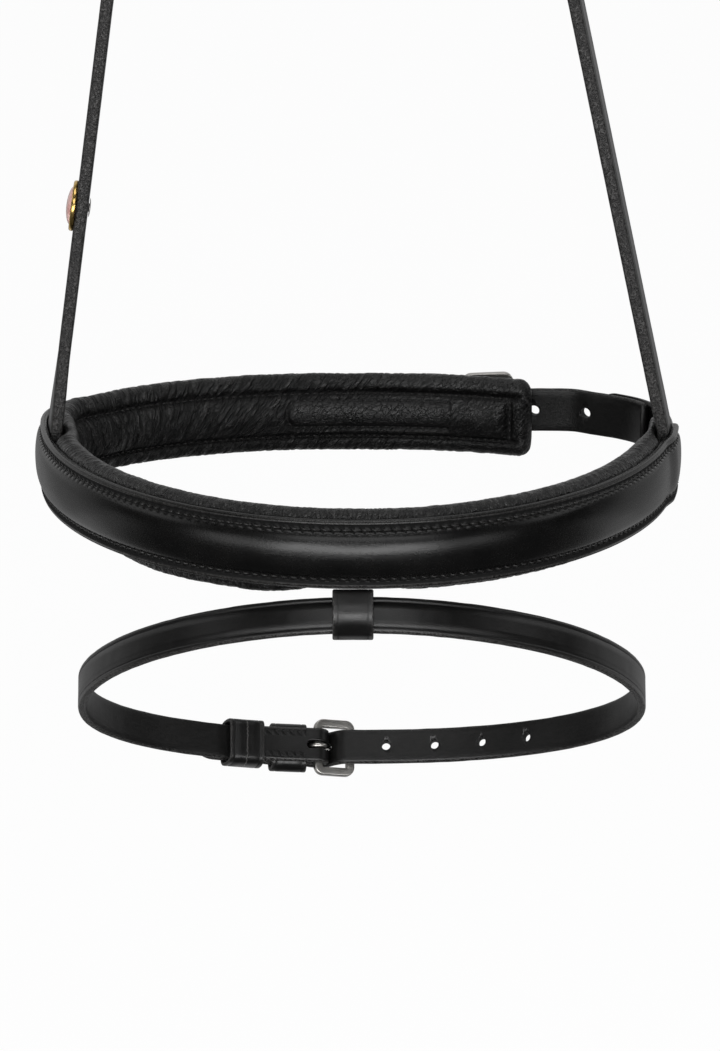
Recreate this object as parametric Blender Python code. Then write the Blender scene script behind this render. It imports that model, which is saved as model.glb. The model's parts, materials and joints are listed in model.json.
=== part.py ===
"""Combination noseband: a padded raised noseband on its head strap, with a flash strap below.

Metres, +Z up. The horse looks towards -Y, and the origin is where the head strap rests
on the poll, at the middle of its inner face. Every strap is a ribbon swept along a course.
On a course, s runs along the leather, n stands outwards from the horse and v runs across.
"""

import math

import bmesh
import bpy
import numpy as np
from mathutils import Matrix, Vector

# Clearances
LAYER_GAP = 0.0003
RUNNING_GAP = 0.0005
BAR_GAP = 0.0004
HOLE_GAP = 0.0006

# Noseband as it hangs
POLL_DROP = 0.497
POLL_SIDE_OFFSET = 0.018
STRAP_SETBACK = 0.018
NOSE_HALF_WIDTH = 0.1114
NOSE_FRONT_DEPTH = 0.1375
NOSE_REAR_DEPTH = 0.0622

# Nose band: smooth outer leather with a raised middle
BAND_HEIGHT = 0.0244
BAND_THICK = 0.0022
BAND_END_HEIGHT = 0.0200
BAND_PAST_STRAP = 0.072
BAND_TAPER = 0.032
BAND_RIGHT_END_HEIGHT = 0.0160
BAND_RIGHT_TAPER = 0.0120
BAND_ROW_HEIGHT = 0.0085
CROWN_WIDTH = 0.0152
CROWN_RISE = 0.0040
CROWN_LEFT_RISE = 0.0022
CROWN_RIGHT_RISE = 0.0012
CROWN_BORDER = 0.0030
CROWN_WALL = 0.0018

# Padded lining
PAD_HEIGHT = 0.0290
PAD_THICK = 0.0090
PAD_CHANNEL_DEPTH = 0.0014
PAD_CHANNEL_WIDTH = 0.0022
PAD_PAST_STRAP = 0.0125
PAD_END_PAST_MIDDLE = 0.0665
PAD_CORNER = 0.0050
PAD_CURL = 0.0120
PAD_LEFT_BULGE = 0.0012
PAD_RIGHT_SQUEEZE = 0.0010
PAD_SQUEEZE_RUN = 0.0240
PAD_FILL_SHORT_OF_STRAP = 0.0260
PAD_END_WALL = 0.0030
COVER_THICK = 0.0013
COVER_SLOT_HEIGHT = 0.0160

# Head strap
HEAD_STRAP_WIDTH = 0.0150
HEAD_STRAP_THICK = 0.0044
HEAD_CHAPE_THICK = 0.0022
HEAD_BILLET_WIDTH = 0.0145
HEAD_BILLET_THICK = 0.0028
POLL_RADIUS = 0.0280
STRAP_SEWN_DEPTH = 0.0100
STRAP_BEND_ABOVE = 0.0130
STRAP_LEAN_HEIGHT = 0.150
STRAP_LEAN_FADE = 0.250
LEFT_LEAN_HEIGHT = 0.013
LEFT_LEAN_FADE = 0.035
STRAP_TAPER = 0.040
STRAP_FLARE = 0.0016
HEAD_BUCKLE_HEIGHT = 0.245
HEAD_HOLE_PITCH = 0.0200
HEAD_FIRST_HOLE = 0.0240

# Chin strap
CHIN_CHAPE_WIDTH = 0.0175
CHIN_CHAPE_THICK = 0.0024
CHIN_BILLET_WIDTH = 0.0160
CHIN_BILLET_THICK = 0.0028
CHIN_BUCKLE_PAST_MIDDLE = 0.0398
CHIN_ROOT_PAST_STRAP = 0.050
CHIN_BULGE = 0.0115
CHIN_BULGE_RUN = 0.042
CHIN_BULGE_END = 0.022
CHIN_HOLE_PITCH = 0.0178
CHIN_FIRST_HOLE = 0.0247
CHIN_RUNNER_TRAVEL = 0.0030

# Flash strap
FLASH_HALF_WIDTH = 0.0997
FLASH_FRONT_DEPTH = 0.1080
FLASH_REAR_DEPTH = 0.0770
FLASH_FRONT_POWER = 1.9
FLASH_REAR_POWER = 2.2
FLASH_TILT = math.radians(31.6)
FLASH_WIDTH = 0.0127
FLASH_THICK = 0.0030
FLASH_CHAPE_THICK = 0.0022
FLASH_SIDE_OFFSET = 0.0016
FLASH_SETBACK = 0.0020
FLASH_DROP = 0.0079
FLASH_BUCKLE_OFFSET = 0.0160
FLASH_HOLE_PITCH = 0.0180
FLASH_FIRST_HOLE = 0.0250

# Flash loop, with its corners as (n, v) from the middle of the flash strap
LOOP_WIDTH = 0.0140
LOOP_THICK = 0.0014
LOOP_SIDE_OFFSET = -0.0015
LOOP_HANGER = (0.0078, 0.0066)
LOOP_OUTER_LOW = (0.0028, -0.00765)
LOOP_INNER_LOW = (-0.0030, -0.00765)
LOOP_INNER_HIGH = (-0.0030, 0.00780)
LOOP_CORNER = 0.0012
PAD_DENT = 0.0024

# Badge on the left strap
BADGE_HEIGHT = 0.0935
BADGE_RADIUS = 0.0090
BADGE_RIM_WIDTH = 0.0016
BADGE_RIM_RISE = 0.0020
BADGE_DOME_RISE = 0.0031
RIVET_RADIUS = 0.0015
RIVET_CAP_RADIUS = 0.0036
RIVET_CAP_THICK = 0.0010

# Shapes shared by the straps and buckles
LEATHER_EDGE = 0.0004
BAR_EDGE = 0.25
TONGUE_TIP = 0.6
KEEPER_TUCK = 0.0035
KEEPER_CORNER = 0.0009
CHAPE_STEP = 0.0050
ROOT_STEP = 0.0120
STEP_ROOM = 0.0045
HOLE_CUT_DEPTH = 0.0040

# Counts and spacing of stations
RING_SAMPLES = 1440
MOST_TURN = math.radians(10)
MOST_STEP = 0.040
MARK_ROOM = 0.0025
CROWN_STEPS = 6
TUBE_SIDES = 8
ROUND_STEPS = 24
HOLE_STEPS = 12


for old in list(bpy.data.objects):
    bpy.data.objects.remove(old, do_unlink=True)


class Course:
    """A line that leather follows, with its outward and crosswise directions."""

    def __init__(self, points, outs, sides, closed=False):
        if closed:
            points = np.vstack([points, points[:1]])
            outs = np.vstack([outs, outs[:1]])
            sides = np.vstack([sides, sides[:1]])
        self.points, self.outs, self.sides, self.closed = points, outs, sides, closed
        steps = np.diff(points, axis=0)
        sizes = np.linalg.norm(steps, axis=1)
        self.lengths = np.concatenate([[0.0], np.cumsum(sizes)])
        self.length = float(self.lengths[-1])
        along = steps / sizes[:, None]
        cosines = np.sum(along[1:] * along[:-1], axis=1)
        bends = np.arccos(np.clip(cosines, -1, 1))
        turned = np.concatenate([[0.0], np.cumsum(bends), [np.sum(bends)]])
        effort = turned / MOST_TURN + self.lengths / MOST_STEP
        wanted = np.linspace(0, effort[-1], math.ceil(effort[-1]) + 1)
        self.stations = list(np.interp(wanted, effort, self.lengths))

    def blend(self, table, s):
        return np.array([np.interp(s, self.lengths, table[:, axis]) for axis in range(3)])

    def place(self, s, n, v):
        if self.closed:
            s = s % self.length
        out = self.blend(self.outs, s)
        side = self.blend(self.sides, s)
        out /= np.linalg.norm(out)
        side /= np.linalg.norm(side)
        return self.blend(self.points, s) + out * n + side * v

    def between(self, start, stop, marks=()):
        """Stations from one length to another, with the marks kept and none crowded."""
        low, high = min(start, stop), max(start, stop)
        kept = [low, high] + [m for m in marks if low < m < high]
        shifts = (-self.length, 0.0, self.length) if self.closed else (0.0,)
        for shift in shifts:
            for station in self.stations:
                s = station + shift
                if low < s < high and min(abs(s - k) for k in kept) > MARK_ROOM:
                    kept.append(s)
        return sorted(kept, reverse=start > stop)


def superellipse(half_width, front, rear, front_power, rear_power):
    """Plan of a ring from its front middle, round by the right, the rear and the left."""
    angles = np.linspace(-math.pi / 2, 3 * math.pi / 2, RING_SAMPLES, endpoint=False)
    cosines, sines = np.cos(angles), np.sin(angles)
    depth = np.where(sines < 0, front, rear)
    power = np.where(sines < 0, front_power, rear_power)
    spread = np.abs(cosines / half_width) ** power + np.abs(sines / depth) ** power
    radius = spread ** (-1 / power)
    return radius * cosines, radius * sines


def ring_course(centre, plan, tilt=0.0):
    """Stands a plan on its centre, with the rear tipped down by the tilt."""
    x, y = plan
    along_x = np.roll(x, -1) - np.roll(x, 1)
    along_y = np.roll(y, -1) - np.roll(y, 1)
    size = np.hypot(along_x, along_y)
    back = np.array([0.0, math.cos(tilt), -math.sin(tilt)])
    up = np.array([0.0, math.sin(tilt), math.cos(tilt)])
    across = np.array([1.0, 0.0, 0.0])
    points = np.array(centre) + np.outer(x, across) + np.outer(y, back)
    outs = np.outer(along_y / size, across) - np.outer(along_x / size, back)
    sides = np.tile(up, (len(x), 1))
    return Course(points, outs, sides, closed=True)


def first_length_where(course, values, wanted, start, stop):
    """Length along a ring where a rising value reaches the wanted one, between two samples."""
    return float(np.interp(wanted, values[start:stop], course.lengths[start:stop]))


def ease(value):
    value = min(1.0, max(0.0, value))
    return value * value * (3 - 2 * value)


def plateau(distance, half, ramp):
    """1 within half of a place, falling to 0 over the ramp."""
    return 1 - ease((abs(distance) - half) / ramp)


# Building meshes


def material(name, colour, roughness, metallic=0.0):
    made = bpy.data.materials.new(name)
    made.use_nodes = True
    shader = made.node_tree.nodes["Principled BSDF"]
    shader.inputs["Base Color"].default_value = (*colour, 1.0)
    shader.inputs["Roughness"].default_value = roughness
    shader.inputs["Metallic"].default_value = metallic
    made.diffuse_color = (*colour, 1.0)
    return made


BLACK = (0.012, 0.011, 0.011)
STEEL = (0.42, 0.41, 0.39)


def leather(node, roughness):
    return material(node + "_leather", BLACK, roughness)


def steel(node):
    return material(node + "_steel", STEEL, 0.32, 1.0)


def add_object(name, bm, finish, sharp=40):
    bmesh.ops.recalc_face_normals(bm, faces=bm.faces)
    mesh = bpy.data.meshes.new(name)
    bm.to_mesh(mesh)
    bm.free()
    mesh.shade_smooth()
    mesh.set_sharp_from_angle(angle=math.radians(sharp))
    obj = bpy.data.objects.new(name, mesh)
    bpy.context.scene.collection.objects.link(obj)
    if finish is not None:
        mesh.materials.append(finish)
    return obj


def skin(name, loops, finish, closed=False):
    """Joins loops of points into one closed body, with end caps unless it closes on itself."""
    bm = bmesh.new()
    rows = [[bm.verts.new(point) for point in loop] for loop in loops]
    following = rows[1:] + rows[:1] if closed else rows[1:]
    count = len(rows[0])
    for row, after in zip(rows, following):
        for i in range(count):
            j = (i + 1) % count
            bm.faces.new((row[i], row[j], after[j]))
            bm.faces.new((row[i], after[j], after[i]))
    if not closed:
        bm.faces.new(rows[0])
        bm.faces.new(rows[-1])
    return add_object(name, bm, finish)


def flat_section(thick, width, edge):
    """Cross-section of a strap: thickness, then width, with its four edges taken off."""
    t, w = thick / 2, width / 2
    return [(t, -w + edge), (t, w - edge), (t - edge, w), (-t + edge, w),
            (-t, w - edge), (-t, -w + edge), (-t + edge, -w), (t - edge, -w)]


def round_section(radius, sides=TUBE_SIDES):
    turns = [2 * math.pi * (i + 0.5) / sides for i in range(sides)]
    return [(radius * math.cos(a), radius * math.sin(a)) for a in turns]


def sweep(place, path, section_at, closed=False):
    """Loops of points along a path in the first two coordinates of place.

    A section point is (height along the path's normal, distance in the third coordinate).
    """
    count = len(path)
    loops = []
    for i, (a, b) in enumerate(path):
        before = path[i - 1] if i or closed else path[i]
        after = path[(i + 1) % count] if i + 1 < count or closed else path[i]
        da, db = after[0] - before[0], after[1] - before[1]
        size = math.hypot(da, db)
        na, nb = -db / size, da / size
        loops.append([place(a + na * h, b + nb * h, c) for h, c in section_at(i)])
    return loops


def soften(path, rounds=1, closed=False):
    """Cuts the corners of a path, keeping its two ends."""
    for _ in range(rounds):
        pairs = list(zip(path, path[1:] + path[:1])) if closed else list(zip(path, path[1:]))
        cut = []
        for (a0, b0), (a1, b1) in pairs:
            cut.append((0.75 * a0 + 0.25 * a1, 0.75 * b0 + 0.25 * b1))
            cut.append((0.25 * a0 + 0.75 * a1, 0.25 * b0 + 0.75 * b1))
        if not closed:
            cut[0], cut[-1] = path[0], path[-1]
        path = cut
    return path


def cut(target, cutter):
    modifier = target.modifiers.new(cutter.name, "BOOLEAN")
    modifier.operation = "DIFFERENCE"
    modifier.solver = "EXACT"
    modifier.object = cutter
    cutter.hide_render = True
    cutter.display_type = "WIRE"


def round_corners(path, radius, closed=False):
    """Replaces each corner of a path by three points on a curve."""
    rounded = []
    last = len(path) - 1
    for i, corner in enumerate(path):
        if i in (0, last) and not closed:
            rounded.append(corner)
            continue
        here = np.array(corner)
        ends = []
        for other in (path[i - 1], path[(i + 1) % len(path)]):
            away = np.array(other) - here
            ends.append(here + away * (radius / np.linalg.norm(away)))
        rounded += [tuple(ends[0]), tuple((ends[0] + 2 * here + ends[1]) / 4), tuple(ends[1])]
    return rounded


def prisms(name, place, outlines, levels):
    """Cutter made of one prism for each outline of (run, v), between two levels of n."""
    bm = bmesh.new()
    for outline in outlines:
        rows = [[bm.verts.new(place(a, n, v)) for a, v in outline] for n in levels]
        count = len(outline)
        for i in range(count):
            j = (i + 1) % count
            bm.faces.new((rows[0][i], rows[0][j], rows[1][j], rows[1][i]))
        bm.faces.new(rows[0])
        bm.faces.new(rows[1])
    return add_object(name, bm, None)


def oval(centre, length, width):
    """Outline of a round hole, with straight sides where it is longer than wide."""
    straight = (length - width) / 2
    points = []
    for i in range(HOLE_STEPS):
        turn = 2 * math.pi * (i + 0.5) / HOLE_STEPS
        shift = math.copysign(straight, math.cos(turn))
        points.append((centre + shift + width / 2 * math.cos(turn), width / 2 * math.sin(turn)))
    return points


def turned(name, place, profile, finish, closed=False):
    """Round piece: a profile of (radius, n) about the axis that stands at place(0, n, 0)."""
    turns = [2 * math.pi * i / ROUND_STEPS for i in range(ROUND_STEPS)]
    loops = []
    for radius, n in profile:
        loops.append([place(radius * math.cos(t), n, radius * math.sin(t)) for t in turns])
    return skin(name, loops, finish, closed)


def move_origin(obj, point):
    """Puts the origin of a moving piece on its joint."""
    obj.data.transform(Matrix.Translation(-Vector(point)))
    obj.location = point


# Courses


NOSE_PLAN = superellipse(NOSE_HALF_WIDTH, NOSE_FRONT_DEPTH, NOSE_REAR_DEPTH, 2, 2)
NOSE_CENTRE = (POLL_SIDE_OFFSET, STRAP_SETBACK, -POLL_DROP)
NOSE = ring_course(NOSE_CENTRE, NOSE_PLAN)
QUARTER = RING_SAMPLES // 4
STRAP_S = first_length_where(NOSE, NOSE_PLAN[1], -STRAP_SETBACK, 0, QUARTER)
WIDEST_S = float(NOSE.lengths[QUARTER])


def nose_rear(past_middle):
    """Length along the noseband to a place on its rear, given by its distance to the right."""
    return first_length_where(NOSE, -NOSE_PLAN[0], -past_middle, QUARTER, 3 * QUARTER)


def from_front(s):
    """Distance along the noseband from the front middle, whichever way round is shorter."""
    half = NOSE.length / 2
    return abs((s + half) % NOSE.length - half)


FLASH_FRONT_Y = NOSE_CENTRE[1] - NOSE_FRONT_DEPTH + FLASH_SETBACK
FLASH_FRONT_Z = NOSE_CENTRE[2] - PAD_HEIGHT / 2 - FLASH_DROP
FLASH_CENTRE = (
    NOSE_CENTRE[0] + FLASH_SIDE_OFFSET,
    FLASH_FRONT_Y + FLASH_FRONT_DEPTH * math.cos(FLASH_TILT),
    FLASH_FRONT_Z - FLASH_FRONT_DEPTH * math.sin(FLASH_TILT),
)
FLASH_PLAN = superellipse(
    FLASH_HALF_WIDTH, FLASH_FRONT_DEPTH, FLASH_REAR_DEPTH, FLASH_FRONT_POWER, FLASH_REAR_POWER)
FLASH = ring_course(FLASH_CENTRE, FLASH_PLAN, FLASH_TILT)


def head_course():
    """Up the left cheek, over the poll and down the right cheek, leaning in from the noseband."""
    radius = POLL_RADIUS + HEAD_STRAP_THICK / 2
    depth = -RUNNING_GAP - HEAD_STRAP_THICK / 2
    bend = NOSE_CENTRE[2] + STRAP_BEND_ABOVE
    foot_z = NOSE_CENTRE[2] - STRAP_SEWN_DEPTH
    feet, aims = [], []
    for way in (-1, 1):
        foot = NOSE.place(way * STRAP_S, depth + max(0.0, way * STRAP_FLARE), 0)
        reach = bend + POLL_RADIUS
        turn = math.acos(radius / math.hypot(foot[0], reach))
        feet.append(foot[0])
        aims.append(math.atan2(reach, foot[0]) + way * turn)
    corners = [(feet[0], foot_z), (feet[0], bend)]
    for aim in np.linspace(aims[0] % (2 * math.pi), aims[1], 49):
        corners.append((radius * math.cos(aim), radius * math.sin(aim) - POLL_RADIUS))
    corners += [(feet[1], bend), (feet[1], foot_z)]
    runs = []
    for a, b in zip(corners, corners[1:]):
        pieces = math.ceil(math.dist(a, b) / 0.004)
        runs.append(np.linspace(a, b, pieces, endpoint=False))
    path = np.vstack(runs + [corners[-1:]])
    along = np.gradient(path, axis=0)
    along /= np.linalg.norm(along, axis=1)[:, None]
    toe = math.asin(NOSE.place(STRAP_S, 0, 0)[1] - NOSE.place(STRAP_S, 1, 0)[1])
    rear = np.array([0.0, 1.0, 0.0])
    outs, sides = [], []
    for (x, z), (ax, az) in zip(path, along):
        above = z - NOSE_CENTRE[2]
        lean = toe * (1 - ease((above - STRAP_LEAN_HEIGHT) / STRAP_LEAN_FADE))
        if x < 0:
            lean = toe * (1 - ease((above - LEFT_LEAN_HEIGHT) / LEFT_LEAN_FADE))
        out = np.array([-az, 0.0, ax])
        outs.append(math.cos(lean) * out - math.sin(lean) * rear)
        sides.append(math.cos(lean) * rear + math.sin(lean) * out)
    points = np.column_stack([path[:, 0], np.full(len(path), foot[1]), path[:, 1]])
    return Course(points, np.array(outs), np.array(sides))


HEAD = head_course()


def head_at_height(above_nose, left):
    """Length along the head strap at a height above the noseband, on either cheek."""
    target = NOSE_CENTRE[2] + above_nose
    heights = HEAD.points[:, 2]
    top = int(np.argmax(heights))
    if left:
        return float(np.interp(target, heights[:top], HEAD.lengths[:top]))
    return float(np.interp(-target, -heights[top:], HEAD.lengths[top:]))


# Buckles and keepers


class Fastening:
    """A buckle on a turned-back chape, with the billet through it and two keepers.

    u runs from the hinge bar towards the far bar. The inner leg of the chape lies at
    inner_level, the main strap at root_level, and the far bar at far_level.
    """

    def __init__(self, prefix, course, bar_s, chape, billet, frame, bar, tongue_radius,
                 keeper_thick, levels, turn_back, tip, zones):
        self.prefix, self.course, self.bar_s = prefix, course, bar_s
        self.chape_thick, self.chape_width = chape
        self.billet_thick, self.billet_width = billet
        self.frame_length, self.frame_height = frame
        self.bar_width, self.bar_thick = bar
        self.tongue_radius, self.keeper_thick = tongue_radius, keeper_thick
        self.inner_level, self.root_level, self.exit_level = levels
        self.turn_back, self.tip = turn_back, tip
        self.fixed_zone, self.runner_zone = zones
        inner_top = self.inner_level + self.chape_thick / 2
        self.bar_level = inner_top + BAR_GAP + self.bar_width / 2
        self.fold = self.bar_width / 2 + BAR_GAP + self.chape_thick / 2
        self.far_u = self.frame_length - self.bar_width
        under_bar = self.exit_level + self.billet_thick / 2 + RUNNING_GAP
        self.far_level = under_bar + BAR_GAP + self.bar_thick / 2
        self.tilt = math.asin((self.far_level - self.bar_level) / self.far_u)
        self.tucked = inner_top + 2 * LAYER_GAP + self.keeper_thick + self.chape_thick / 2
        self.sewn = inner_top + LAYER_GAP + self.chape_thick / 2
        self.ride = self.chape_thick / 2 + LAYER_GAP + self.billet_thick / 2

    def place(self, u, n, v):
        return self.course.place(self.bar_s - u, n, v)

    def across(self, middle_u):
        """Place for a keeper: its path is (v, n) and its width runs along the strap."""
        return lambda v, n, c: self.place(middle_u + c, n, v)

    def chape_path(self):
        """Centre line of the chape from the end of its inner leg, round the bar, to its root."""
        near, far = self.fixed_zone
        end = self.turn_back
        path = [(-end, self.inner_level), (-far, self.inner_level), (-near, self.inner_level)]
        for degrees in range(-90, 91, 30):
            turn = math.radians(degrees)
            path.append((self.fold * math.cos(turn), self.bar_level + self.fold * math.sin(turn)))
        path += [(-near, self.tucked), (-far, self.tucked), (-far - CHAPE_STEP, self.sewn)]
        path += [(-end - STEP_ROOM, self.sewn), (-end - ROOT_STEP, self.root_level)]
        return soften(path)

    def billet_path(self):
        """Centre line of the billet from its tip, over the chape, down inside the far bar."""
        near, far = self.fixed_zone
        radius = self.fold + self.ride
        path = [(-self.tip, self.sewn + self.ride), (-far - CHAPE_STEP, self.sewn + self.ride)]
        path += [(-far, self.tucked + self.ride), (-near, self.tucked + self.ride)]
        for degrees in range(100, 14, -15):
            turn = math.radians(degrees)
            path.append((radius * math.cos(turn), self.bar_level + radius * math.sin(turn)))
        settle = (radius + self.far_u) / 2
        path += [(settle, self.exit_level), (self.far_u, self.exit_level)]
        return soften(path)

    def shank(self):
        """Height of the tongue's shank at the hinge bar, and its slope to the far bar."""
        start = self.bar_level + self.bar_width / 2 + BAR_GAP + self.tongue_radius
        end = self.far_level + self.bar_thick / 2 + BAR_GAP + LAYER_GAP + self.tongue_radius
        return start, (end - start) / (self.far_u * math.cos(self.tilt))

    def frame(self):
        """Square frame with rounded corners, tipped up at its far bar."""
        half = (self.frame_height - self.bar_width) / 2
        corner = self.bar_width
        corners = [(0, -half, 180), (self.far_u, -half, 270), (self.far_u, half, 0), (0, half, 90)]
        path = []
        for u, v, start in corners:
            middle_u = u + math.copysign(corner, self.far_u / 2 - u)
            middle_v = v - math.copysign(corner, v)
            for degrees in range(start, start + 91, 30):
                turn = math.radians(degrees)
                path.append((middle_u + corner * math.cos(turn), middle_v + corner * math.sin(turn)))
        cosine, sine = math.cos(self.tilt), math.sin(self.tilt)

        def place(a, v, h):
            return self.place(a * cosine - h * sine, self.bar_level + a * sine + h * cosine, v)

        section = flat_section(self.bar_width, self.bar_thick, self.bar_thick * BAR_EDGE)
        loops = sweep(place, path, lambda i: section, closed=True)
        name = self.prefix + "_buckle_frame"
        return skin(name, loops, steel(name), closed=True)

    def tongue(self):
        """Wire that curls round the hinge bar and lies across the far bar."""
        curl = self.bar_width / 2 + BAR_GAP + self.tongue_radius
        start, slope = self.shank()
        path = []
        for degrees in range(330, 90, -30):
            turn = math.radians(degrees)
            path.append((curl * math.cos(turn), self.bar_level + curl * math.sin(turn)))
        reach = self.far_u + self.bar_width
        path += [(u, start + slope * u) for u in (0.0, self.far_u, reach)]
        last = len(path) - 1
        section = round_section(self.tongue_radius)
        tip = [(h * TONGUE_TIP, c * TONGUE_TIP) for h, c in section]
        loops = sweep(self.place, path, lambda i: tip if i == last else section)
        name = self.prefix + "_buckle_tongue"
        return skin(name, loops, steel(name))

    def fixed_keeper(self):
        """Strip over the billet, with both ends sewn in between the legs of the chape."""
        near, far = self.fixed_zone
        middle = self.inner_level + self.chape_thick / 2 + LAYER_GAP + self.keeper_thick / 2
        wide = max(self.chape_width, self.billet_width)
        half = wide / 2 + LAYER_GAP + self.keeper_thick / 2
        billet_top = self.tucked + self.ride + self.billet_thick / 2
        top = billet_top + RUNNING_GAP + self.keeper_thick / 2
        tuck = self.chape_width / 2 - KEEPER_TUCK
        path = [(tuck, middle), (half, middle), (half, top)]
        path += [(-half, top), (-half, middle), (-tuck, middle)]
        path = round_corners(path, KEEPER_CORNER)
        section = flat_section(self.keeper_thick, far - near, LEATHER_EDGE)
        loops = sweep(self.across(-(near + far) / 2), path, lambda i: section)
        name = self.prefix + "_fixed_keeper"
        return skin(name, loops, leather(name, 0.55))

    def runner_keeper(self, lowest):
        """Closed loop that slides on the strap and the billet, whose inner face is lowest."""
        near, far = self.runner_zone
        wide = max(self.chape_width, self.billet_width)
        half = wide / 2 + RUNNING_GAP + self.keeper_thick / 2
        top = self.sewn + self.ride + self.billet_thick / 2 + RUNNING_GAP + self.keeper_thick / 2
        bottom = lowest - RUNNING_GAP - self.keeper_thick / 2
        path = [(half, bottom), (half, top), (-half, top), (-half, bottom)]
        path = round_corners(path, KEEPER_CORNER, closed=True)
        section = flat_section(self.keeper_thick, far - near, LEATHER_EDGE)
        loops = sweep(self.across(-(near + far) / 2), path, lambda i: section, closed=True)
        name = self.prefix + "_runner_keeper"
        return skin(name, loops, leather(name, 0.55), closed=True)

    def cut_slot(self, strap):
        """Slot for the tongue, through both legs and the fold of the chape."""
        curl = self.bar_width / 2 + BAR_GAP + 2 * self.tongue_radius + HOLE_GAP
        reach = self.fold + self.chape_thick
        outline = oval((reach - curl) / 2, reach + curl, 2 * (self.tongue_radius + HOLE_GAP))
        levels = (self.inner_level - self.chape_thick, self.bar_level + reach)
        cut(strap, prisms(self.prefix + "_slot_cutter", self.place, [outline], levels))

    def cut_holes(self, strap, first, pitch, count, place=None):
        """Holes of the billet: one along the tongue, and the rest punched square through it."""
        start, slope = self.shank()
        leave = self.fold + self.ride + self.billet_thick
        path = [(u, start + slope * u) for u in (0.0, leave)]
        section = round_section(self.tongue_radius + HOLE_GAP, HOLE_STEPS)
        loops = sweep(self.place, path, lambda i: section)
        cut(strap, skin(self.prefix + "_tongue_hole_cutter", loops, None))
        size = 2 * (self.tongue_radius + HOLE_GAP)
        place = self.place if place is None else place
        outlines = [oval(first + pitch * i, size, size) for i in range(count)]
        levels = (self.exit_level - HOLE_CUT_DEPTH, self.exit_level + HOLE_CUT_DEPTH)
        cut(strap, prisms(self.prefix + "_hole_cutter", place, outlines, levels))


FLASH_BUCKLE = Fastening(
    "flash", FLASH, first_length_where(
        FLASH, -FLASH_PLAN[0], FLASH_BUCKLE_OFFSET, QUARTER, 3 * QUARTER),
    chape=(FLASH_CHAPE_THICK, FLASH_WIDTH), billet=(FLASH_THICK, FLASH_WIDTH),
    frame=(0.0150, 0.0210), bar=(0.0030, 0.0026), tongue_radius=0.0010, keeper_thick=0.0013,
    levels=(-FLASH_THICK / 2 - 0.0006, 0.0, 0.0), turn_back=0.028, tip=0.046,
    zones=((0.0042, 0.0172), (0.0210, 0.0346)))
CHIN = Fastening(
    "chin", NOSE, nose_rear(CHIN_BUCKLE_PAST_MIDDLE),
    chape=(CHIN_CHAPE_THICK, CHIN_CHAPE_WIDTH), billet=(CHIN_BILLET_THICK, CHIN_BILLET_WIDTH),
    frame=(0.0185, 0.0254), bar=(0.0030, 0.0026), tongue_radius=0.0013, keeper_thick=0.0013,
    levels=(-LAYER_GAP - CHIN_CHAPE_THICK / 2, -LAYER_GAP - CHIN_CHAPE_THICK / 2, 0.0044),
    turn_back=0.035, tip=0.052, zones=((0.0078, 0.0172), (0.0350, 0.0440)))
HEAD_BUCKLE = Fastening(
    "head", HEAD, head_at_height(HEAD_BUCKLE_HEIGHT, left=False),
    chape=(HEAD_CHAPE_THICK, HEAD_STRAP_WIDTH), billet=(HEAD_BILLET_THICK, HEAD_BILLET_WIDTH),
    frame=(0.0160, 0.0225), bar=(0.0030, 0.0026), tongue_radius=0.0012, keeper_thick=0.0013,
    levels=(-HEAD_STRAP_THICK / 2 + HEAD_CHAPE_THICK / 2 - LAYER_GAP, 0.0, 0.0),
    turn_back=0.030, tip=0.052, zones=((0.0070, 0.0170), (0.0240, 0.0340)))


# Noseband pieces


def right_bulge(s):
    """How far the noseband stands out from its plan, round the right strap and behind it."""
    flare = STRAP_FLARE * plateau(s - STRAP_S, HEAD_STRAP_WIDTH / 2, PAD_CURL)
    behind = ease((s - WIDEST_S) / CHIN_BULGE_RUN)
    fall = ease((CHIN.bar_s - CHIN.frame_length - s) / CHIN_BULGE_END)
    return (flare + CHIN_BULGE * behind) * fall


def on_nose(s, n, v):
    shift = right_bulge(s) if s > 0 else 0.0
    return NOSE.place(s, n + shift, v)


RUNNER_S = CHIN.bar_s + sum(CHIN.runner_zone) / 2 - NOSE.length
RUNNER_HALF = (CHIN.runner_zone[1] - CHIN.runner_zone[0]) / 2 + CHIN_RUNNER_TRAVEL + LAYER_GAP
LOOP_ROOM = LOOP_WIDTH / 2 + 0.002


def nose_marks():
    """Stations that all noseband pieces share: beside the straps, the loop and the keeper."""
    places = [(way * STRAP_S, HEAD_STRAP_WIDTH / 2 + LAYER_GAP) for way in (-1, 1)]
    places += [(LOOP_SIDE_OFFSET, LOOP_ROOM), (RUNNER_S, RUNNER_HALF)]
    marks = [CHIN.bar_s - NOSE.length, CHIN.bar_s + PAD_CORNER - NOSE.length]
    for middle, half in places:
        for away in (half, half + PAD_CURL):
            marks += [middle - away, middle + away]
    rear_edge = STRAP_S + HEAD_STRAP_WIDTH / 2
    return marks + [rear_edge + BAND_RIGHT_TAPER * part for part in (0.35, 0.65)]


NOSE_MARKS = nose_marks()


def band_shape(s):
    """Half height, half width and rise of the crown, and height of the hollow under it."""
    low, side_rise = BAND_END_HEIGHT, CROWN_LEFT_RISE
    full = ease((STRAP_S + BAND_PAST_STRAP + s) / BAND_TAPER)
    if s > 0:
        low, side_rise = BAND_RIGHT_END_HEIGHT, CROWN_RIGHT_RISE
        full = 1 - ease((s - STRAP_S - HEAD_STRAP_WIDTH / 2) / BAND_RIGHT_TAPER)
    half = (low + (BAND_HEIGHT - low) * full) / 2
    rise = (CROWN_RISE + (side_rise - CROWN_RISE) * ease(abs(s) / STRAP_S)) * full
    hollow = (rise + BAND_THICK - CROWN_WALL) * full
    return half, min(CROWN_WIDTH / 2, half - CROWN_BORDER), rise, hollow


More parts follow.
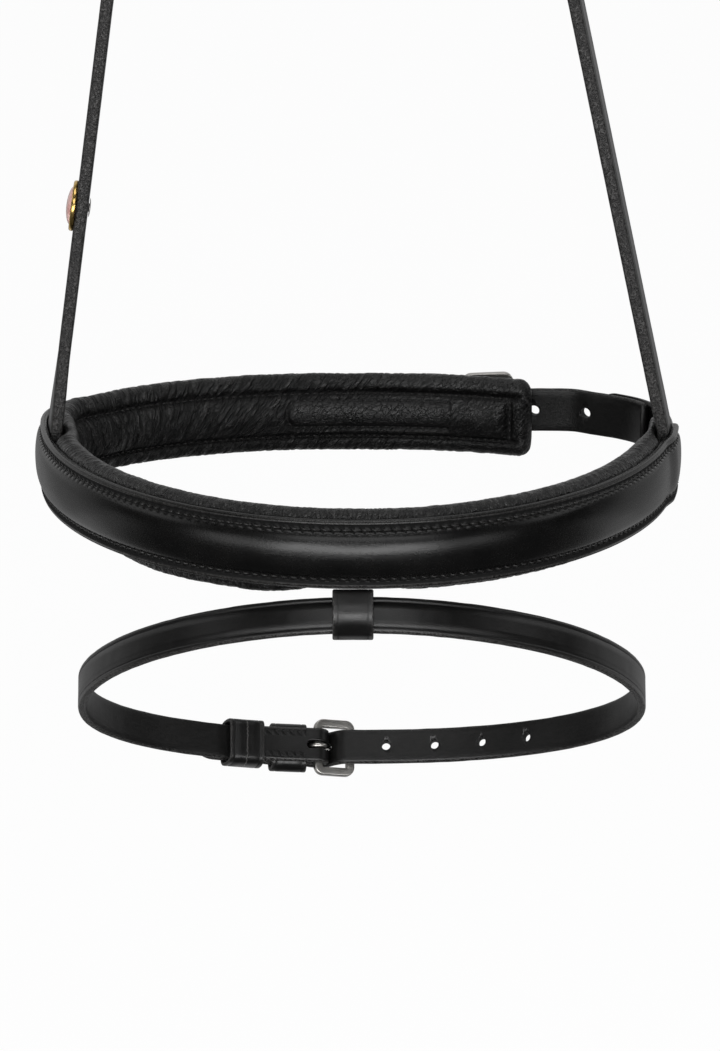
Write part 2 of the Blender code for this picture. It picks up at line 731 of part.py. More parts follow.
def arch(half_width, base, rise):
    """Points of a low arch from the upper side to the lower one, as (n, v)."""
    turns = [math.pi * i / CROWN_STEPS for i in range(CROWN_STEPS + 1)]
    return [(base + rise * math.sin(t), half_width * math.cos(t)) for t in turns]


def nose_band():
    def section(s):
        half, crown, rise, hollow = band_shape(s)
        edge = LEATHER_EDGE
        outer = [(BAND_THICK - edge, half), (BAND_THICK, half - edge)]
        outer += arch(crown, BAND_THICK, rise)
        outer += [(BAND_THICK, edge - half), (BAND_THICK - edge, -half)]
        inner = arch(crown - CROWN_WALL, 0.0, hollow)
        return outer + [(0.0, -half)] + inner[::-1] + [(0.0, half)]

    end = STRAP_S + BAND_PAST_STRAP
    loops = [[on_nose(s, n, v) for n, v in section(s)] for s in NOSE.between(-end, end, NOSE_MARKS)]
    return skin("nose_band", loops, leather("nose_band", 0.35))


def crown_filler():
    def section(s):
        half, crown, rise, hollow = band_shape(s)
        return arch(crown - CROWN_WALL - 2 * LAYER_GAP, 0.0, hollow - LAYER_GAP)

    left = BAND_TAPER * 0.7 - STRAP_S - BAND_PAST_STRAP
    right = STRAP_S + HEAD_STRAP_WIDTH / 2
    loops = [[on_nose(s, n, v) for n, v in section(s)] for s in NOSE.between(left, right, NOSE_MARKS)]
    return skin("crown_filler", loops, material("crown_filler_felt", (0.05, 0.05, 0.05), 0.9))


PAD_START_S = nose_rear(PAD_END_PAST_MIDDLE) - NOSE.length
PAD_STOP_S = STRAP_S + PAD_PAST_STRAP
FILL_START_S = PAD_START_S + PAD_END_WALL
FILL_STOP_S = STRAP_S - PAD_FILL_SHORT_OF_STRAP


def pad_faces(s):
    """Depth of the pad's outer and inner faces inside the nose band."""
    away = from_front(s)
    strap = plateau(away - STRAP_S, HEAD_STRAP_WIDTH / 2 + LAYER_GAP, PAD_CURL)
    behind = STRAP_S + CHIN_ROOT_PAST_STRAP
    chape = ease((away - behind + PAD_CURL) / (PAD_CURL - LAYER_GAP))
    chape_room = CHIN_CHAPE_THICK + RUNNING_GAP
    runner = plateau(s - RUNNER_S, RUNNER_HALF, PAD_CURL)
    runner_room = CHIN.keeper_thick + RUNNING_GAP
    outer = LAYER_GAP + max((HEAD_STRAP_THICK + RUNNING_GAP) * strap, chape_room * chape)
    outer += runner_room * runner
    inner = LAYER_GAP + PAD_THICK + chape_room * chape
    if s < 0:
        return outer, inner + PAD_LEFT_BULGE * strap
    near_strap = STRAP_S - HEAD_STRAP_WIDTH / 2 - PAD_SQUEEZE_RUN
    return outer, inner - PAD_RIGHT_SQUEEZE * ease((s - near_strap) / PAD_SQUEEZE_RUN)


def pad_skin(s):
    """Outline of the pad as (n, v): a roll along each edge and a sewn channel beside each."""
    to_end = min(s - PAD_START_S, PAD_STOP_S - s)
    outer, inner = pad_faces(s)
    middle, half = -(outer + inner) / 2, (inner - outer) / 2
    half *= max(0.35, math.sqrt(1 - max(0.0, 1 - to_end / half) ** 2))
    corner = max(0.0, PAD_CORNER - to_end)
    shrink = PAD_CORNER - math.sqrt(PAD_CORNER ** 2 - corner ** 2)
    dent = PAD_DENT * plateau(s - LOOP_SIDE_OFFSET, LOOP_ROOM, PAD_CURL)
    roll = PAD_THICK / 2
    top, bottom = PAD_HEIGHT / 2 - shrink - roll, dent + shrink + roll - PAD_HEIGHT / 2
    points = []
    for degrees in (0, 60, 120, 180):
        turn = math.radians(degrees)
        points.append((middle + half * math.cos(turn), top + roll * math.sin(turn)))
    channel = min(PAD_CHANNEL_DEPTH * ease((to_end - PAD_CORNER) / PAD_CORNER), half)
    face, row = middle - half, BAND_ROW_HEIGHT
    points[-1] = (face + channel, row)
    points += [(face, row - PAD_CHANNEL_WIDTH), (face, PAD_CHANNEL_WIDTH - row)]
    for degrees in (180, 240, 300, 360):
        turn = math.radians(degrees)
        points.append((middle + half * math.cos(turn), bottom + roll * math.sin(turn)))
    points[6] = (face + channel, -row)
    return points


def pad_core(s, inset, neck, neck_top):
    """Outline of what lies inside the cover, with a neck out through its back."""
    outer, inner = pad_faces(s)
    dent = PAD_DENT * plateau(s - LOOP_SIDE_OFFSET, LOOP_ROOM, PAD_CURL)
    top, bottom = PAD_HEIGHT / 2 - inset, dent + inset - PAD_HEIGHT / 2
    back, face = -outer - inset, PAD_CHANNEL_DEPTH + inset - inner
    middle, roll = (back + face) / 2, PAD_THICK / 2 - inset
    covered = ease((s - CHIN.bar_s + NOSE.length) / PAD_CORNER)
    level = back + LAYER_GAP / 2 + (neck_top - outer - back - LAYER_GAP / 2) * covered
    low = min(bottom + roll, -neck - LAYER_GAP)
    points = [(back, top - roll), (middle, top), (face, top - roll)]
    points += [(face, bottom + roll), (middle, bottom), (back, low)]
    return points + [(back, -neck), (level, -neck), (level, neck), (back, neck)]


def lining_cover():
    """Soft leather that wraps the foam, open along its back where the straps close it."""
    ends = [0.0, 0.0008, 0.0025, PAD_CORNER]
    middle = NOSE.between(PAD_START_S + 2 * PAD_CORNER, PAD_STOP_S - 2 * PAD_CORNER, NOSE_MARKS)
    stations = [PAD_START_S + e for e in ends] + middle + [PAD_STOP_S - e for e in ends[::-1]]
    loops = [[on_nose(s, n, v) for n, v in pad_skin(s)] for s in stations]
    cover = skin("lining_cover", loops, leather("lining_cover", 0.6))
    hollow = []
    for s in NOSE.between(FILL_START_S, FILL_STOP_S, NOSE_MARKS):
        core = pad_core(s, COVER_THICK, COVER_SLOT_HEIGHT / 2, LAYER_GAP)
        hollow.append([on_nose(s, n, v) for n, v in core])
    cut(cover, skin("lining_hollow_cutter", hollow, None))
    return cover


def foam_pad():
    loops = []
    neck = COVER_SLOT_HEIGHT / 2 - LAYER_GAP
    stations = NOSE.between(FILL_START_S, FILL_STOP_S, NOSE_MARKS)
    stations[0] += LAYER_GAP
    stations[-1] -= LAYER_GAP
    for s in stations:
        core = pad_core(s, COVER_THICK + LAYER_GAP, neck, -LAYER_GAP)
        loops.append([on_nose(s, n, v) for n, v in core])
    return skin("foam_pad", loops, material("foam_pad_foam", (0.08, 0.08, 0.08), 0.95))


# Straps


def ribbon(name, place, path, thick_at, width_at, roughness):
    """Strap along a path of (run, n), whose thickness and width follow the run."""
    def section(i):
        run = path[i][0]
        return flat_section(thick_at(run), width_at(run), LEATHER_EDGE)

    return skin(name, sweep(place, path, section), leather(name, roughness))


def skived(thin, thick, start, run):
    """Thickness that grows from thin to thick over the run that follows u = -start."""
    return lambda u: thin + (thick - thin) * ease((-u - start) / run)


def chin_chape():
    path = CHIN.chape_path()
    root_s = NOSE.length - STRAP_S - CHIN_ROOT_PAST_STRAP
    marks = [m + NOSE.length for m in NOSE_MARKS]
    for s in NOSE.between(CHIN.bar_s - path[-1][0], root_s, marks)[1:]:
        path.append((CHIN.bar_s - s, CHIN.root_level))
    strap = ribbon("chin_chape", CHIN.place, path,
                   lambda u: CHIN_CHAPE_THICK, lambda u: CHIN_CHAPE_WIDTH, 0.45)
    CHIN.cut_slot(strap)
    return strap


def chin_billet():
    """Plain strap from inside the right end of the nose band, out through the chin buckle."""
    sewn = -LAYER_GAP - CHIN_BILLET_THICK / 2
    near = CHIN.bar_s - CHIN.far_u
    leave = STRAP_S + BAND_PAST_STRAP

    def level(s):
        return sewn + (CHIN.exit_level - sewn) * ease((s - leave) / (near - leave)) + right_bulge(s)

    path = CHIN.billet_path()
    marks = NOSE_MARKS + [CHIN.bar_s - CHIN.frame_length]
    for s in NOSE.between(near, STRAP_S + CHIN_ROOT_PAST_STRAP, marks)[1:]:
        path.append((CHIN.bar_s - s, level(s)))
    strap = ribbon("chin_billet", CHIN.place, path,
                   lambda u: CHIN_BILLET_THICK, lambda u: CHIN_BILLET_WIDTH, 0.4)

    def on_billet(u, n, v):
        return CHIN.place(u, n + level(CHIN.bar_s - u) - CHIN.exit_level, v)

    CHIN.cut_holes(strap, CHIN_FIRST_HOLE, CHIN_HOLE_PITCH, 2, on_billet)
    return strap


def flash_strap():
    """One strap, whose two ends meet at the buckle: the chape folds back, the billet runs over."""
    buckle = FLASH_BUCKLE
    path = buckle.chape_path()
    start = buckle.bar_s - path[-1][0]
    stop = buckle.bar_s + FLASH.length - buckle.far_u
    path += [(buckle.bar_s - s, buckle.root_level) for s in FLASH.between(start, stop)[1:-1]]
    path += [(u - FLASH.length, n) for u, n in reversed(buckle.billet_path())]
    thick = skived(FLASH_CHAPE_THICK, FLASH_THICK, buckle.turn_back + STEP_ROOM, ROOT_STEP)
    strap = ribbon("flash_strap", buckle.place, path, thick, lambda u: FLASH_WIDTH, 0.5)
    buckle.cut_slot(strap)
    buckle.cut_holes(strap, FLASH_FIRST_HOLE, FLASH_HOLE_PITCH, 4)
    return strap


def near_cheek_strap():
    """Short strap up the right cheek that holds the head buckle."""
    buckle = HEAD_BUCKLE
    path = buckle.chape_path()
    for s in HEAD.between(buckle.bar_s - path[-1][0], HEAD.length)[1:]:
        path.append((buckle.bar_s - s, buckle.root_level))
    thick = skived(HEAD_CHAPE_THICK, HEAD_STRAP_THICK, buckle.turn_back + STEP_ROOM, ROOT_STEP)
    strap = ribbon("near_cheek_strap", buckle.place, path, thick,
                   lambda u: HEAD_STRAP_WIDTH, 0.45)
    buckle.cut_slot(strap)
    return strap


def head_strap():
    """Long strap from the left of the noseband, over the poll and down through its buckle."""
    buckle = HEAD_BUCKLE
    start = buckle.far_u + STRAP_TAPER / 2
    path = buckle.billet_path()
    for s in HEAD.between(buckle.bar_s - buckle.far_u, 0.0)[1:]:
        path.append((buckle.bar_s - s, buckle.exit_level))

    def grown(thin, thick):
        return lambda u: thin + (thick - thin) * ease((u - start) / STRAP_TAPER)

    strap = ribbon("head_strap", buckle.place, path, grown(HEAD_BILLET_THICK, HEAD_STRAP_THICK),
                   grown(HEAD_BILLET_WIDTH, HEAD_STRAP_WIDTH), 0.45)
    buckle.cut_holes(strap, HEAD_FIRST_HOLE, HEAD_HOLE_PITCH, 4)
    return strap


def flash_loop():
    """Leather loop that hangs from the lower edge of the nose band and carries the flash strap."""
    path = round_corners([LOOP_HANGER, LOOP_OUTER_LOW, LOOP_INNER_LOW, LOOP_INNER_HIGH],
                         LOOP_CORNER, closed=True)
    section = flat_section(LOOP_THICK, LOOP_WIDTH, LEATHER_EDGE)
    middle = LOOP_SIDE_OFFSET - FLASH_SIDE_OFFSET

    def place(n, v, c):
        reach = FLASH.place(0.0, n, v) - FLASH.place(0.0, 0.0, 0.0)
        return FLASH.place(middle, 0.0, 0.0) + reach + np.array([c, 0.0, 0.0])

    loops = sweep(place, path, lambda i: section, closed=True)
    loop = skin("flash_loop", loops, leather("flash_loop", 0.5), closed=True)
    move_origin(loop, place(*LOOP_HANGER, 0.0))
    return loop


# Badge


def badge(head):
    """Round rimmed dome on the outer face of the left strap, and the rivet that holds it."""
    middle = head_at_height(BADGE_HEIGHT, left=True)
    surface = HEAD_STRAP_THICK / 2

    def place(a, n, v):
        return HEAD.place(middle + a, n, v)

    base, rim = surface + LAYER_GAP, BADGE_RADIUS - BADGE_RIM_WIDTH
    soft = BADGE_RIM_WIDTH / 4
    profile = [(BADGE_RADIUS, base), (BADGE_RADIUS, base + BADGE_RIM_RISE - soft)]
    profile += [(BADGE_RADIUS - soft, base + BADGE_RIM_RISE), (rim + soft, base + BADGE_RIM_RISE)]
    profile += [(rim, base + BADGE_RIM_RISE - soft), (rim, base)]
    brass = material("badge_rim_brass", (0.62, 0.44, 0.17), 0.3, 1.0)
    turned("badge_rim", place, profile, brass, closed=True)

    edge = rim - LAYER_GAP
    low = base + BADGE_RIM_RISE / 2
    profile = [(edge, base), (edge, low)]
    for degrees in (20, 40, 60, 80):
        turn = math.radians(degrees)
        rise = (base + BADGE_DOME_RISE - low) * math.sin(turn)
        profile.append((edge * math.cos(turn), low + rise))
    resin = material("badge_dome_resin", (0.55, 0.35, 0.32), 0.2)
    turned("badge_dome", place, profile, resin)

    under = -surface - LAYER_GAP
    profile = [(RIVET_CAP_RADIUS, under - RIVET_CAP_THICK), (RIVET_CAP_RADIUS, under)]
    profile += [(RIVET_RADIUS, under), (RIVET_RADIUS, surface)]
    turned("badge_rivet", place, profile, steel("badge_rivet"))
    hole = RIVET_RADIUS + LAYER_GAP
    cutter = turned("badge_hole_cutter", place, [(hole, -2 * surface), (hole, 2 * surface)], None)
    cut(head, cutter)


def buckle_pieces(buckle, lowest):
    """Frame and tongue with their origins on the hinge bar, and the two keepers."""
    hinge = buckle.place(0.0, buckle.bar_level, 0.0)
    for piece in (buckle.frame(), buckle.tongue()):
        move_origin(piece, hinge)
    buckle.fixed_keeper()
    near, far = buckle.runner_zone
    runner = buckle.runner_keeper(lowest)
    move_origin(runner, buckle.place(-(near + far) / 2, buckle.sewn, 0.0))


nose_band()
crown_filler()
lining_cover()
foam_pad()
chin_chape()
chin_billet()
flash_strap()
flash_loop()
near_cheek_strap()
badge(head_strap())
buckle_pieces(CHIN, CHIN.root_level - CHIN_CHAPE_THICK / 2)
buckle_pieces(FLASH_BUCKLE, FLASH_BUCKLE.inner_level - FLASH_CHAPE_THICK / 2)
buckle_pieces(HEAD_BUCKLE, HEAD_BUCKLE.inner_level - HEAD_CHAPE_THICK / 2)
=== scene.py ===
"""Dressed combination noseband: bridle leather, a soft lining, waxed thread and steel buckles.

Metres, +Z up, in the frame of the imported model. Every strap is swept along a course.
On a course, s runs along the leather, n stands outwards from the horse and v runs across.
"""

import json
import math

import bpy
import numpy as np
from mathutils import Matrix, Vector

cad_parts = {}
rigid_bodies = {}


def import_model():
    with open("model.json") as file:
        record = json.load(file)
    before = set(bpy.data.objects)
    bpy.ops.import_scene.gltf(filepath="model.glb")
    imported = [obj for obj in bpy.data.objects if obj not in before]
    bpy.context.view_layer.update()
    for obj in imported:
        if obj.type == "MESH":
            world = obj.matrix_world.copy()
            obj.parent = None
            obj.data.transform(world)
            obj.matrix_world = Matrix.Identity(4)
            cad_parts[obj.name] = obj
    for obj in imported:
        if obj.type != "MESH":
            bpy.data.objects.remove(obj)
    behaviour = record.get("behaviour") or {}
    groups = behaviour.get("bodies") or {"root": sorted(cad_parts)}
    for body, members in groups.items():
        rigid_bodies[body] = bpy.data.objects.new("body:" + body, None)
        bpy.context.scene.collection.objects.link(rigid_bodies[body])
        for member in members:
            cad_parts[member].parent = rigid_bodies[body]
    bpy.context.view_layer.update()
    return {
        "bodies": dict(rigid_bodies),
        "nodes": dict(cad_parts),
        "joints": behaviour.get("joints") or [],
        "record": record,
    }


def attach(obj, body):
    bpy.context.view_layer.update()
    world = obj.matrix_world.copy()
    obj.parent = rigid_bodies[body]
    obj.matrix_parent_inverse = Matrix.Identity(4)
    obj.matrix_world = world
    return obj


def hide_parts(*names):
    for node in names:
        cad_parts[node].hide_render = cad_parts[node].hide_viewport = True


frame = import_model()

MM = 0.001

# Sizes repeated from the part's source
LAYER_GAP = 0.0003
RUNNING_GAP = 0.0005
BAR_GAP = 0.0004
HOLE_GAP = 0.0006
POLL_DROP = 0.497
POLL_SIDE_OFFSET = 0.018
STRAP_SETBACK = 0.018
NOSE_HALF_WIDTH = 0.1114
NOSE_FRONT_DEPTH = 0.1375
NOSE_REAR_DEPTH = 0.0622
BAND_HEIGHT = 0.0244
BAND_THICK = 0.0022
BAND_END_HEIGHT = 0.0200
BAND_PAST_STRAP = 0.072
BAND_TAPER = 0.032
BAND_RIGHT_END_HEIGHT = 0.0160
BAND_RIGHT_TAPER = 0.0120
CROWN_WIDTH = 0.0152
CROWN_RISE = 0.0040
CROWN_LEFT_RISE = 0.0022
CROWN_RIGHT_RISE = 0.0012
CROWN_BORDER = 0.0030
CROWN_WALL = 0.0018
PAD_HEIGHT = 0.0290
PAD_THICK = 0.0090
PAD_PAST_STRAP = 0.0125
PAD_END_PAST_MIDDLE = 0.0665
PAD_CORNER = 0.0050
PAD_CURL = 0.0120
PAD_LEFT_BULGE = 0.0012
PAD_RIGHT_SQUEEZE = 0.0010
PAD_SQUEEZE_RUN = 0.0240
PAD_DENT = 0.0024
HEAD_STRAP_WIDTH = 0.0150
HEAD_STRAP_THICK = 0.0044
HEAD_CHAPE_THICK = 0.0022
HEAD_BILLET_WIDTH = 0.0145
HEAD_BILLET_THICK = 0.0028
POLL_RADIUS = 0.0280
STRAP_SEWN_DEPTH = 0.0100
STRAP_BEND_ABOVE = 0.0130
STRAP_LEAN_HEIGHT = 0.150
STRAP_LEAN_FADE = 0.250
LEFT_LEAN_HEIGHT = 0.013
LEFT_LEAN_FADE = 0.035
STRAP_TAPER = 0.040
STRAP_FLARE = 0.0016
HEAD_BUCKLE_HEIGHT = 0.245
HEAD_HOLE_PITCH = 0.0200
HEAD_FIRST_HOLE = 0.0240
CHIN_CHAPE_WIDTH = 0.0175
CHIN_CHAPE_THICK = 0.0024
CHIN_BILLET_WIDTH = 0.0160
CHIN_BILLET_THICK = 0.0028
CHIN_BUCKLE_PAST_MIDDLE = 0.0398
CHIN_ROOT_PAST_STRAP = 0.050
CHIN_BULGE = 0.0115
CHIN_BULGE_RUN = 0.042
CHIN_BULGE_END = 0.022
CHIN_HOLE_PITCH = 0.0178
CHIN_FIRST_HOLE = 0.0247
CHIN_RUNNER_TRAVEL = 0.0030
FLASH_HALF_WIDTH = 0.0997
FLASH_FRONT_DEPTH = 0.1080
FLASH_REAR_DEPTH = 0.0770
FLASH_FRONT_POWER = 1.9
FLASH_REAR_POWER = 2.2
FLASH_TILT = math.radians(31.6)
FLASH_WIDTH = 0.0127
FLASH_THICK = 0.0030
FLASH_CHAPE_THICK = 0.0022
FLASH_SIDE_OFFSET = 0.0016
FLASH_SETBACK = 0.0020
FLASH_DROP = 0.0079
FLASH_BUCKLE_OFFSET = 0.0160
FLASH_HOLE_PITCH = 0.0180
FLASH_FIRST_HOLE = 0.0250
LOOP_WIDTH = 0.0140
LOOP_THICK = 0.0014
LOOP_SIDE_OFFSET = -0.0015
LOOP_HANGER = (0.0078, 0.0066)
LOOP_INNER_LOW = (-0.0030, -0.00765)
LOOP_INNER_HIGH = (-0.0030, 0.00780)
BADGE_HEIGHT = 0.0935
BADGE_RADIUS = 0.0090
BADGE_RIM_WIDTH = 0.0016
BADGE_DOME_RISE = 0.0031
RIVET_RADIUS = 0.0015
KEEPER_TUCK = 0.0035
CHAPE_STEP = 0.0050
ROOT_STEP = 0.0120
STEP_ROOM = 0.0045

# Sizes of the dressing, where s is the distance along the noseband from its front middle

# Sewn rows: pitch, inset from the edge (upper row, lower row) and slant of the awl slots
STITCH_PITCH = 0.0034
STITCH_INSET = (0.0033, 0.0036)
STITCH_SLANT = 0.55
ROW_PITCH = 0.0029
ROW_INSET = 0.0022
NO_ROW = 0.01

# Nose band: width of its upper and lower border, its rounded tips and the crown's ripple
BAND_STATIONS = 870
BAND_TIP = 0.007
CROWN_SPREAD = (0.0036, 0.0044)
CROWN_RIPPLE = 0.00010
CROWN_RIPPLE_SIZE = 0.018
BAND_FIRST_STITCH = 0.010

# Zones beside the band's edge as (place, half, ramp): sunk row darkened as painted shade, bead and
# ridge lightened for wear and painted highlight
ROW_ZONE = (0.0022, 0.00035, 0.0005)
BEAD_ZONE = (0.0003, 0.0001, 0.0003)
BORDER_ZONE = (0.0012, 0.0002, 0.0004)

# Beaded border of the nose band: distances from its edge and heights above its face, in mm
BORDER_OUTLINE = ((0.0, -1.15), (0.06, -0.74), (0.22, -0.34), (0.38, -0.12), (0.46, -0.20),
                  (0.54, -0.20), (0.64, -0.06), (0.85, 0.10), (1.15, 0.22), (1.45, 0.16),
                  (1.7, -0.04), (1.95, -0.30), (2.2, -0.42), (2.5, -0.40), (2.8, -0.30),
                  (3.1, -0.18), (3.4, -0.05))

# Lining: its rolls, the puff between its rows, and how far its lower edge sags on the left
PAD_STATIONS = 1100
ROLL = 0.0052
PAD_PUFF = 0.0025
PAD_SAG = 0.0018
SAG_NEAR, SAG_NEAR_FADE = 0.016, 0.020
SAG_FAR, SAG_FAR_FADE = 0.108, 0.030
LINING_ROWS = (0.0075, -0.0085)
LINING_END_ROW = 0.0076
LINING_ROW_STOP = 0.004
END_ROW_FADE = 0.005
ROW_SINK, ROW_SINK_WIDTH = 0.0014, 0.0020
SEAM_ZONE = (0.0003, 0.0008)

# Lining: heights of the tongue-shaped patch's rows, its ends past the middle, its open end
TONGUE_ROWS = (0.0052, -0.0047)
TONGUE_REACH = (0.036, -0.028)
TONGUE_SINK, TONGUE_SINK_WIDTH = 0.0013, 0.0018
TONGUE_OPEN_AWAY, TONGUE_OPEN_FADE = 0.020, 0.003

# Lining: the stretches of s where its folds gather, lean and run short
GATHER_MIDDLE, GATHER_HALF, GATHER_FADE = -0.255, 0.050, 0.070
LEAN_FROM, LEAN_FADE = -0.225, 0.075
LOWER_LEAN_FROM = -0.150
SHORT_FOLDS_FROM = (-0.150, -0.115)
TAUT_EDGE, TAUT_FADE = 0.0005, 0.0015
TIP_FOLDS_EDGE, TIP_FOLDS_FADE, TIP_FOLDS_RUN = 0.0015, 0.006, 0.012

# Lining: size of each kind of fold along it and across it
PULL_SIZE = (0.009, 0.012)
CREASE_SIZE = (0.0021, 0.0075)
TIGHT_SIZE = (0.0013, 0.0045)
CRACK_SIZE = (0.0026, 0.0026)
ROLL_FOLD_SIZE = (0.0017, 0.02)
SWELL_SIZE = (0.004, 0.004)
FOLDS_NEAR_ROW = 0.0012
FULL_FOLD_HALF = 0.003

# Straps: rounding of their edges as shares of the thickness, and the line pressed beside them
ROUND_OUTER = 0.45
ROUND_INNER = 0.35
ROUND_LIMIT = 0.0011
CREASE_INSET = 0.0019
CREASE_END_FADE = 0.004
FACE_PAST_CREASE = 0.0006
CREASE_OUTLINE = ((-0.00032, 0), (-0.00014, 0.7), (0, 1), (0.00014, 0.7), (0.00032, 0))

# Straps: their cut edge, the zones beside it as (place, half, ramp), and how uneven they are
EDGE_INSET, EDGE_FADE = 0.0007, 0.0006
RIDGE_ZONE = (0.0005, 0.0001, 0.0005)
CREASE_ZONE = (CREASE_INSET, 0.00012, 0.0003)
UNEVEN, UNEVEN_SIZE = 0.00006, 0.004

# Holes: room round a tongue's tunnel, and reach of the cutters to each side of a strap's middle
TUNNEL_ROOM = 0.0003
HOLE_REACH = 0.004
RIVET_HOLE_REACH = 0.006

# Keepers and tongues: corner and side bow of a keeper, rounded and flattened tip of the wire
KEEPER_CORNER = 0.0021
KEEPER_SIDE_BOW = 0.0003
WIRE_TIP, WIRE_FLAT = 0.0011, 0.009

# Steps between rows of points, and between the corners of the courses
STRAP_STEP = 0.0011
FINE_STEP = 0.0005
FRAME_STEP = 0.0004
WIRE_STEP = 0.0006
CORNER_STEP = 0.002
COURSE_STEP = 0.004

# Stretches of a strap's length: a place past any end, and the whole of it
FAR = 9.0
WHOLE = (-1.0, FAR)

# Loop: rounding of its corners, and the corners of its front as (n, v) at the flash strap
LOOP_CORNER = 0.0012
LOOP_FRONT = ((0.0083, 0.0036), (0.0086, 0.0006), (0.0082, -0.0020), (0.0066, -0.0050),
              (0.0032, -0.0074))

# Badge
BADGE_RIM_RISE = 0.0014
RIM_CHAMFER = 0.0002
RIVET_TOP_GAP = 0.0001
RIVET_CAP_RADIUS = 0.0034
RIVET_CAP_RISE = 0.0005
RIVET_HOLE = 0.0036
BADGE_SLOTS = {"badge_rim": "rim_brass", "badge_dome": "dome_resin", "badge_rivet": "steel"}

RING_SAMPLES = 1440


def unit(vectors):
    return vectors / np.linalg.norm(vectors, axis=-1, keepdims=True)


def running_length(points):
    sizes = np.linalg.norm(np.diff(points, axis=0), axis=-1)
    return np.concatenate([[0.0], np.cumsum(sizes)])


def between_rows(wanted, lengths, table):
    """Rows of a table at the wanted lengths, from the rows on either side."""
    columns = [np.interp(wanted, lengths, column) for column in table.T]
    return np.stack(columns, axis=-1)


class Course:
    """A line that leather follows, with its outward and crosswise directions."""

    def __init__(self, points, outs, sides, closed=False):
        if closed:
            points, outs, sides = (np.vstack([t, t[:1]]) for t in (points, outs, sides))
        self.points, self.outs, self.sides, self.closed = points, outs, sides, closed
        self.lengths = running_length(points)
        self.length = float(self.lengths[-1])

    def place(self, s, n, v):
        s, n, v = np.broadcast_arrays(np.asarray(s, float), n, v)
        if self.closed:
            s = s % self.length
        point, out, side = (between_rows(s, self.lengths, table)
                            for table in (self.points, self.outs, self.sides))
        return point + unit(out) * n[..., None] + unit(side) * v[..., None]


def superellipse(half_width, front, rear, front_power, rear_power):
    """Plan of a ring from its front middle, round by the right, the rear and the left."""
    angles = np.linspace(-math.pi / 2, 3 * math.pi / 2, RING_SAMPLES, endpoint=False)
    cosines, sines = np.cos(angles), np.sin(angles)
    depth = np.where(sines < 0, front, rear)
    power = np.where(sines < 0, front_power, rear_power)
    spread = np.abs(cosines / half_width) ** power + np.abs(sines / depth) ** power
    radius = spread ** (-1 / power)
    return radius * cosines, radius * sines


def ring_course(centre, plan, tilt=0.0):
    """Stands a plan on its centre, with the rear tipped down by the tilt."""
    x, y = plan
    along_x = np.roll(x, -1) - np.roll(x, 1)
    along_y = np.roll(y, -1) - np.roll(y, 1)
    size = np.hypot(along_x, along_y)
    back = np.array([0.0, math.cos(tilt), -math.sin(tilt)])
    up = np.array([0.0, math.sin(tilt), math.cos(tilt)])
    across = np.array([1.0, 0.0, 0.0])
    points = np.array(centre) + np.outer(x, across) + np.outer(y, back)
    outs = np.outer(along_y / size, across) - np.outer(along_x / size, back)
    return Course(points, outs, np.tile(up, (len(x), 1)), closed=True)


def first_length_where(course, values, wanted, start, stop):
    return float(np.interp(wanted, values[start:stop], course.lengths[start:stop]))


def ease(value):
    value = np.clip(value, 0.0, 1.0)
    return value * value * (3 - 2 * value)


def plateau(distance, half, ramp):
    """1 within half of a place, falling to 0 over the ramp."""
    return 1 - ease((np.abs(distance) - half) / ramp)


def in_zone(inset, zone):
    """1 in a zone (place, half, ramp) beside an edge, from the distance to that edge."""
    place, half, ramp = zone
    return plateau(inset - place, half, ramp)


# Courses

NOSE_PLAN = superellipse(NOSE_HALF_WIDTH, NOSE_FRONT_DEPTH, NOSE_REAR_DEPTH, 2, 2)
NOSE_CENTRE = np.array((POLL_SIDE_OFFSET, STRAP_SETBACK, -POLL_DROP))
NOSE = ring_course(NOSE_CENTRE, NOSE_PLAN)
QUARTER = RING_SAMPLES // 4
STRAP_S = first_length_where(NOSE, NOSE_PLAN[1], -STRAP_SETBACK, 0, QUARTER)
WIDEST_S = float(NOSE.lengths[QUARTER])


def nose_rear(past_middle):
    return first_length_where(NOSE, -NOSE_PLAN[0], -past_middle, QUARTER, 3 * QUARTER)


def from_front(s):
    half = NOSE.length / 2
    return np.abs((s + half) % NOSE.length - half)


FLASH_FRONT_Y = NOSE_CENTRE[1] - NOSE_FRONT_DEPTH + FLASH_SETBACK
FLASH_FRONT_Z = NOSE_CENTRE[2] - PAD_HEIGHT / 2 - FLASH_DROP
FLASH_CENTRE = (
    NOSE_CENTRE[0] + FLASH_SIDE_OFFSET,
    FLASH_FRONT_Y + FLASH_FRONT_DEPTH * math.cos(FLASH_TILT),
    FLASH_FRONT_Z - FLASH_FRONT_DEPTH * math.sin(FLASH_TILT),
)
FLASH_PLAN = superellipse(
    FLASH_HALF_WIDTH, FLASH_FRONT_DEPTH, FLASH_REAR_DEPTH, FLASH_FRONT_POWER, FLASH_REAR_POWER)
FLASH = ring_course(FLASH_CENTRE, FLASH_PLAN, FLASH_TILT)


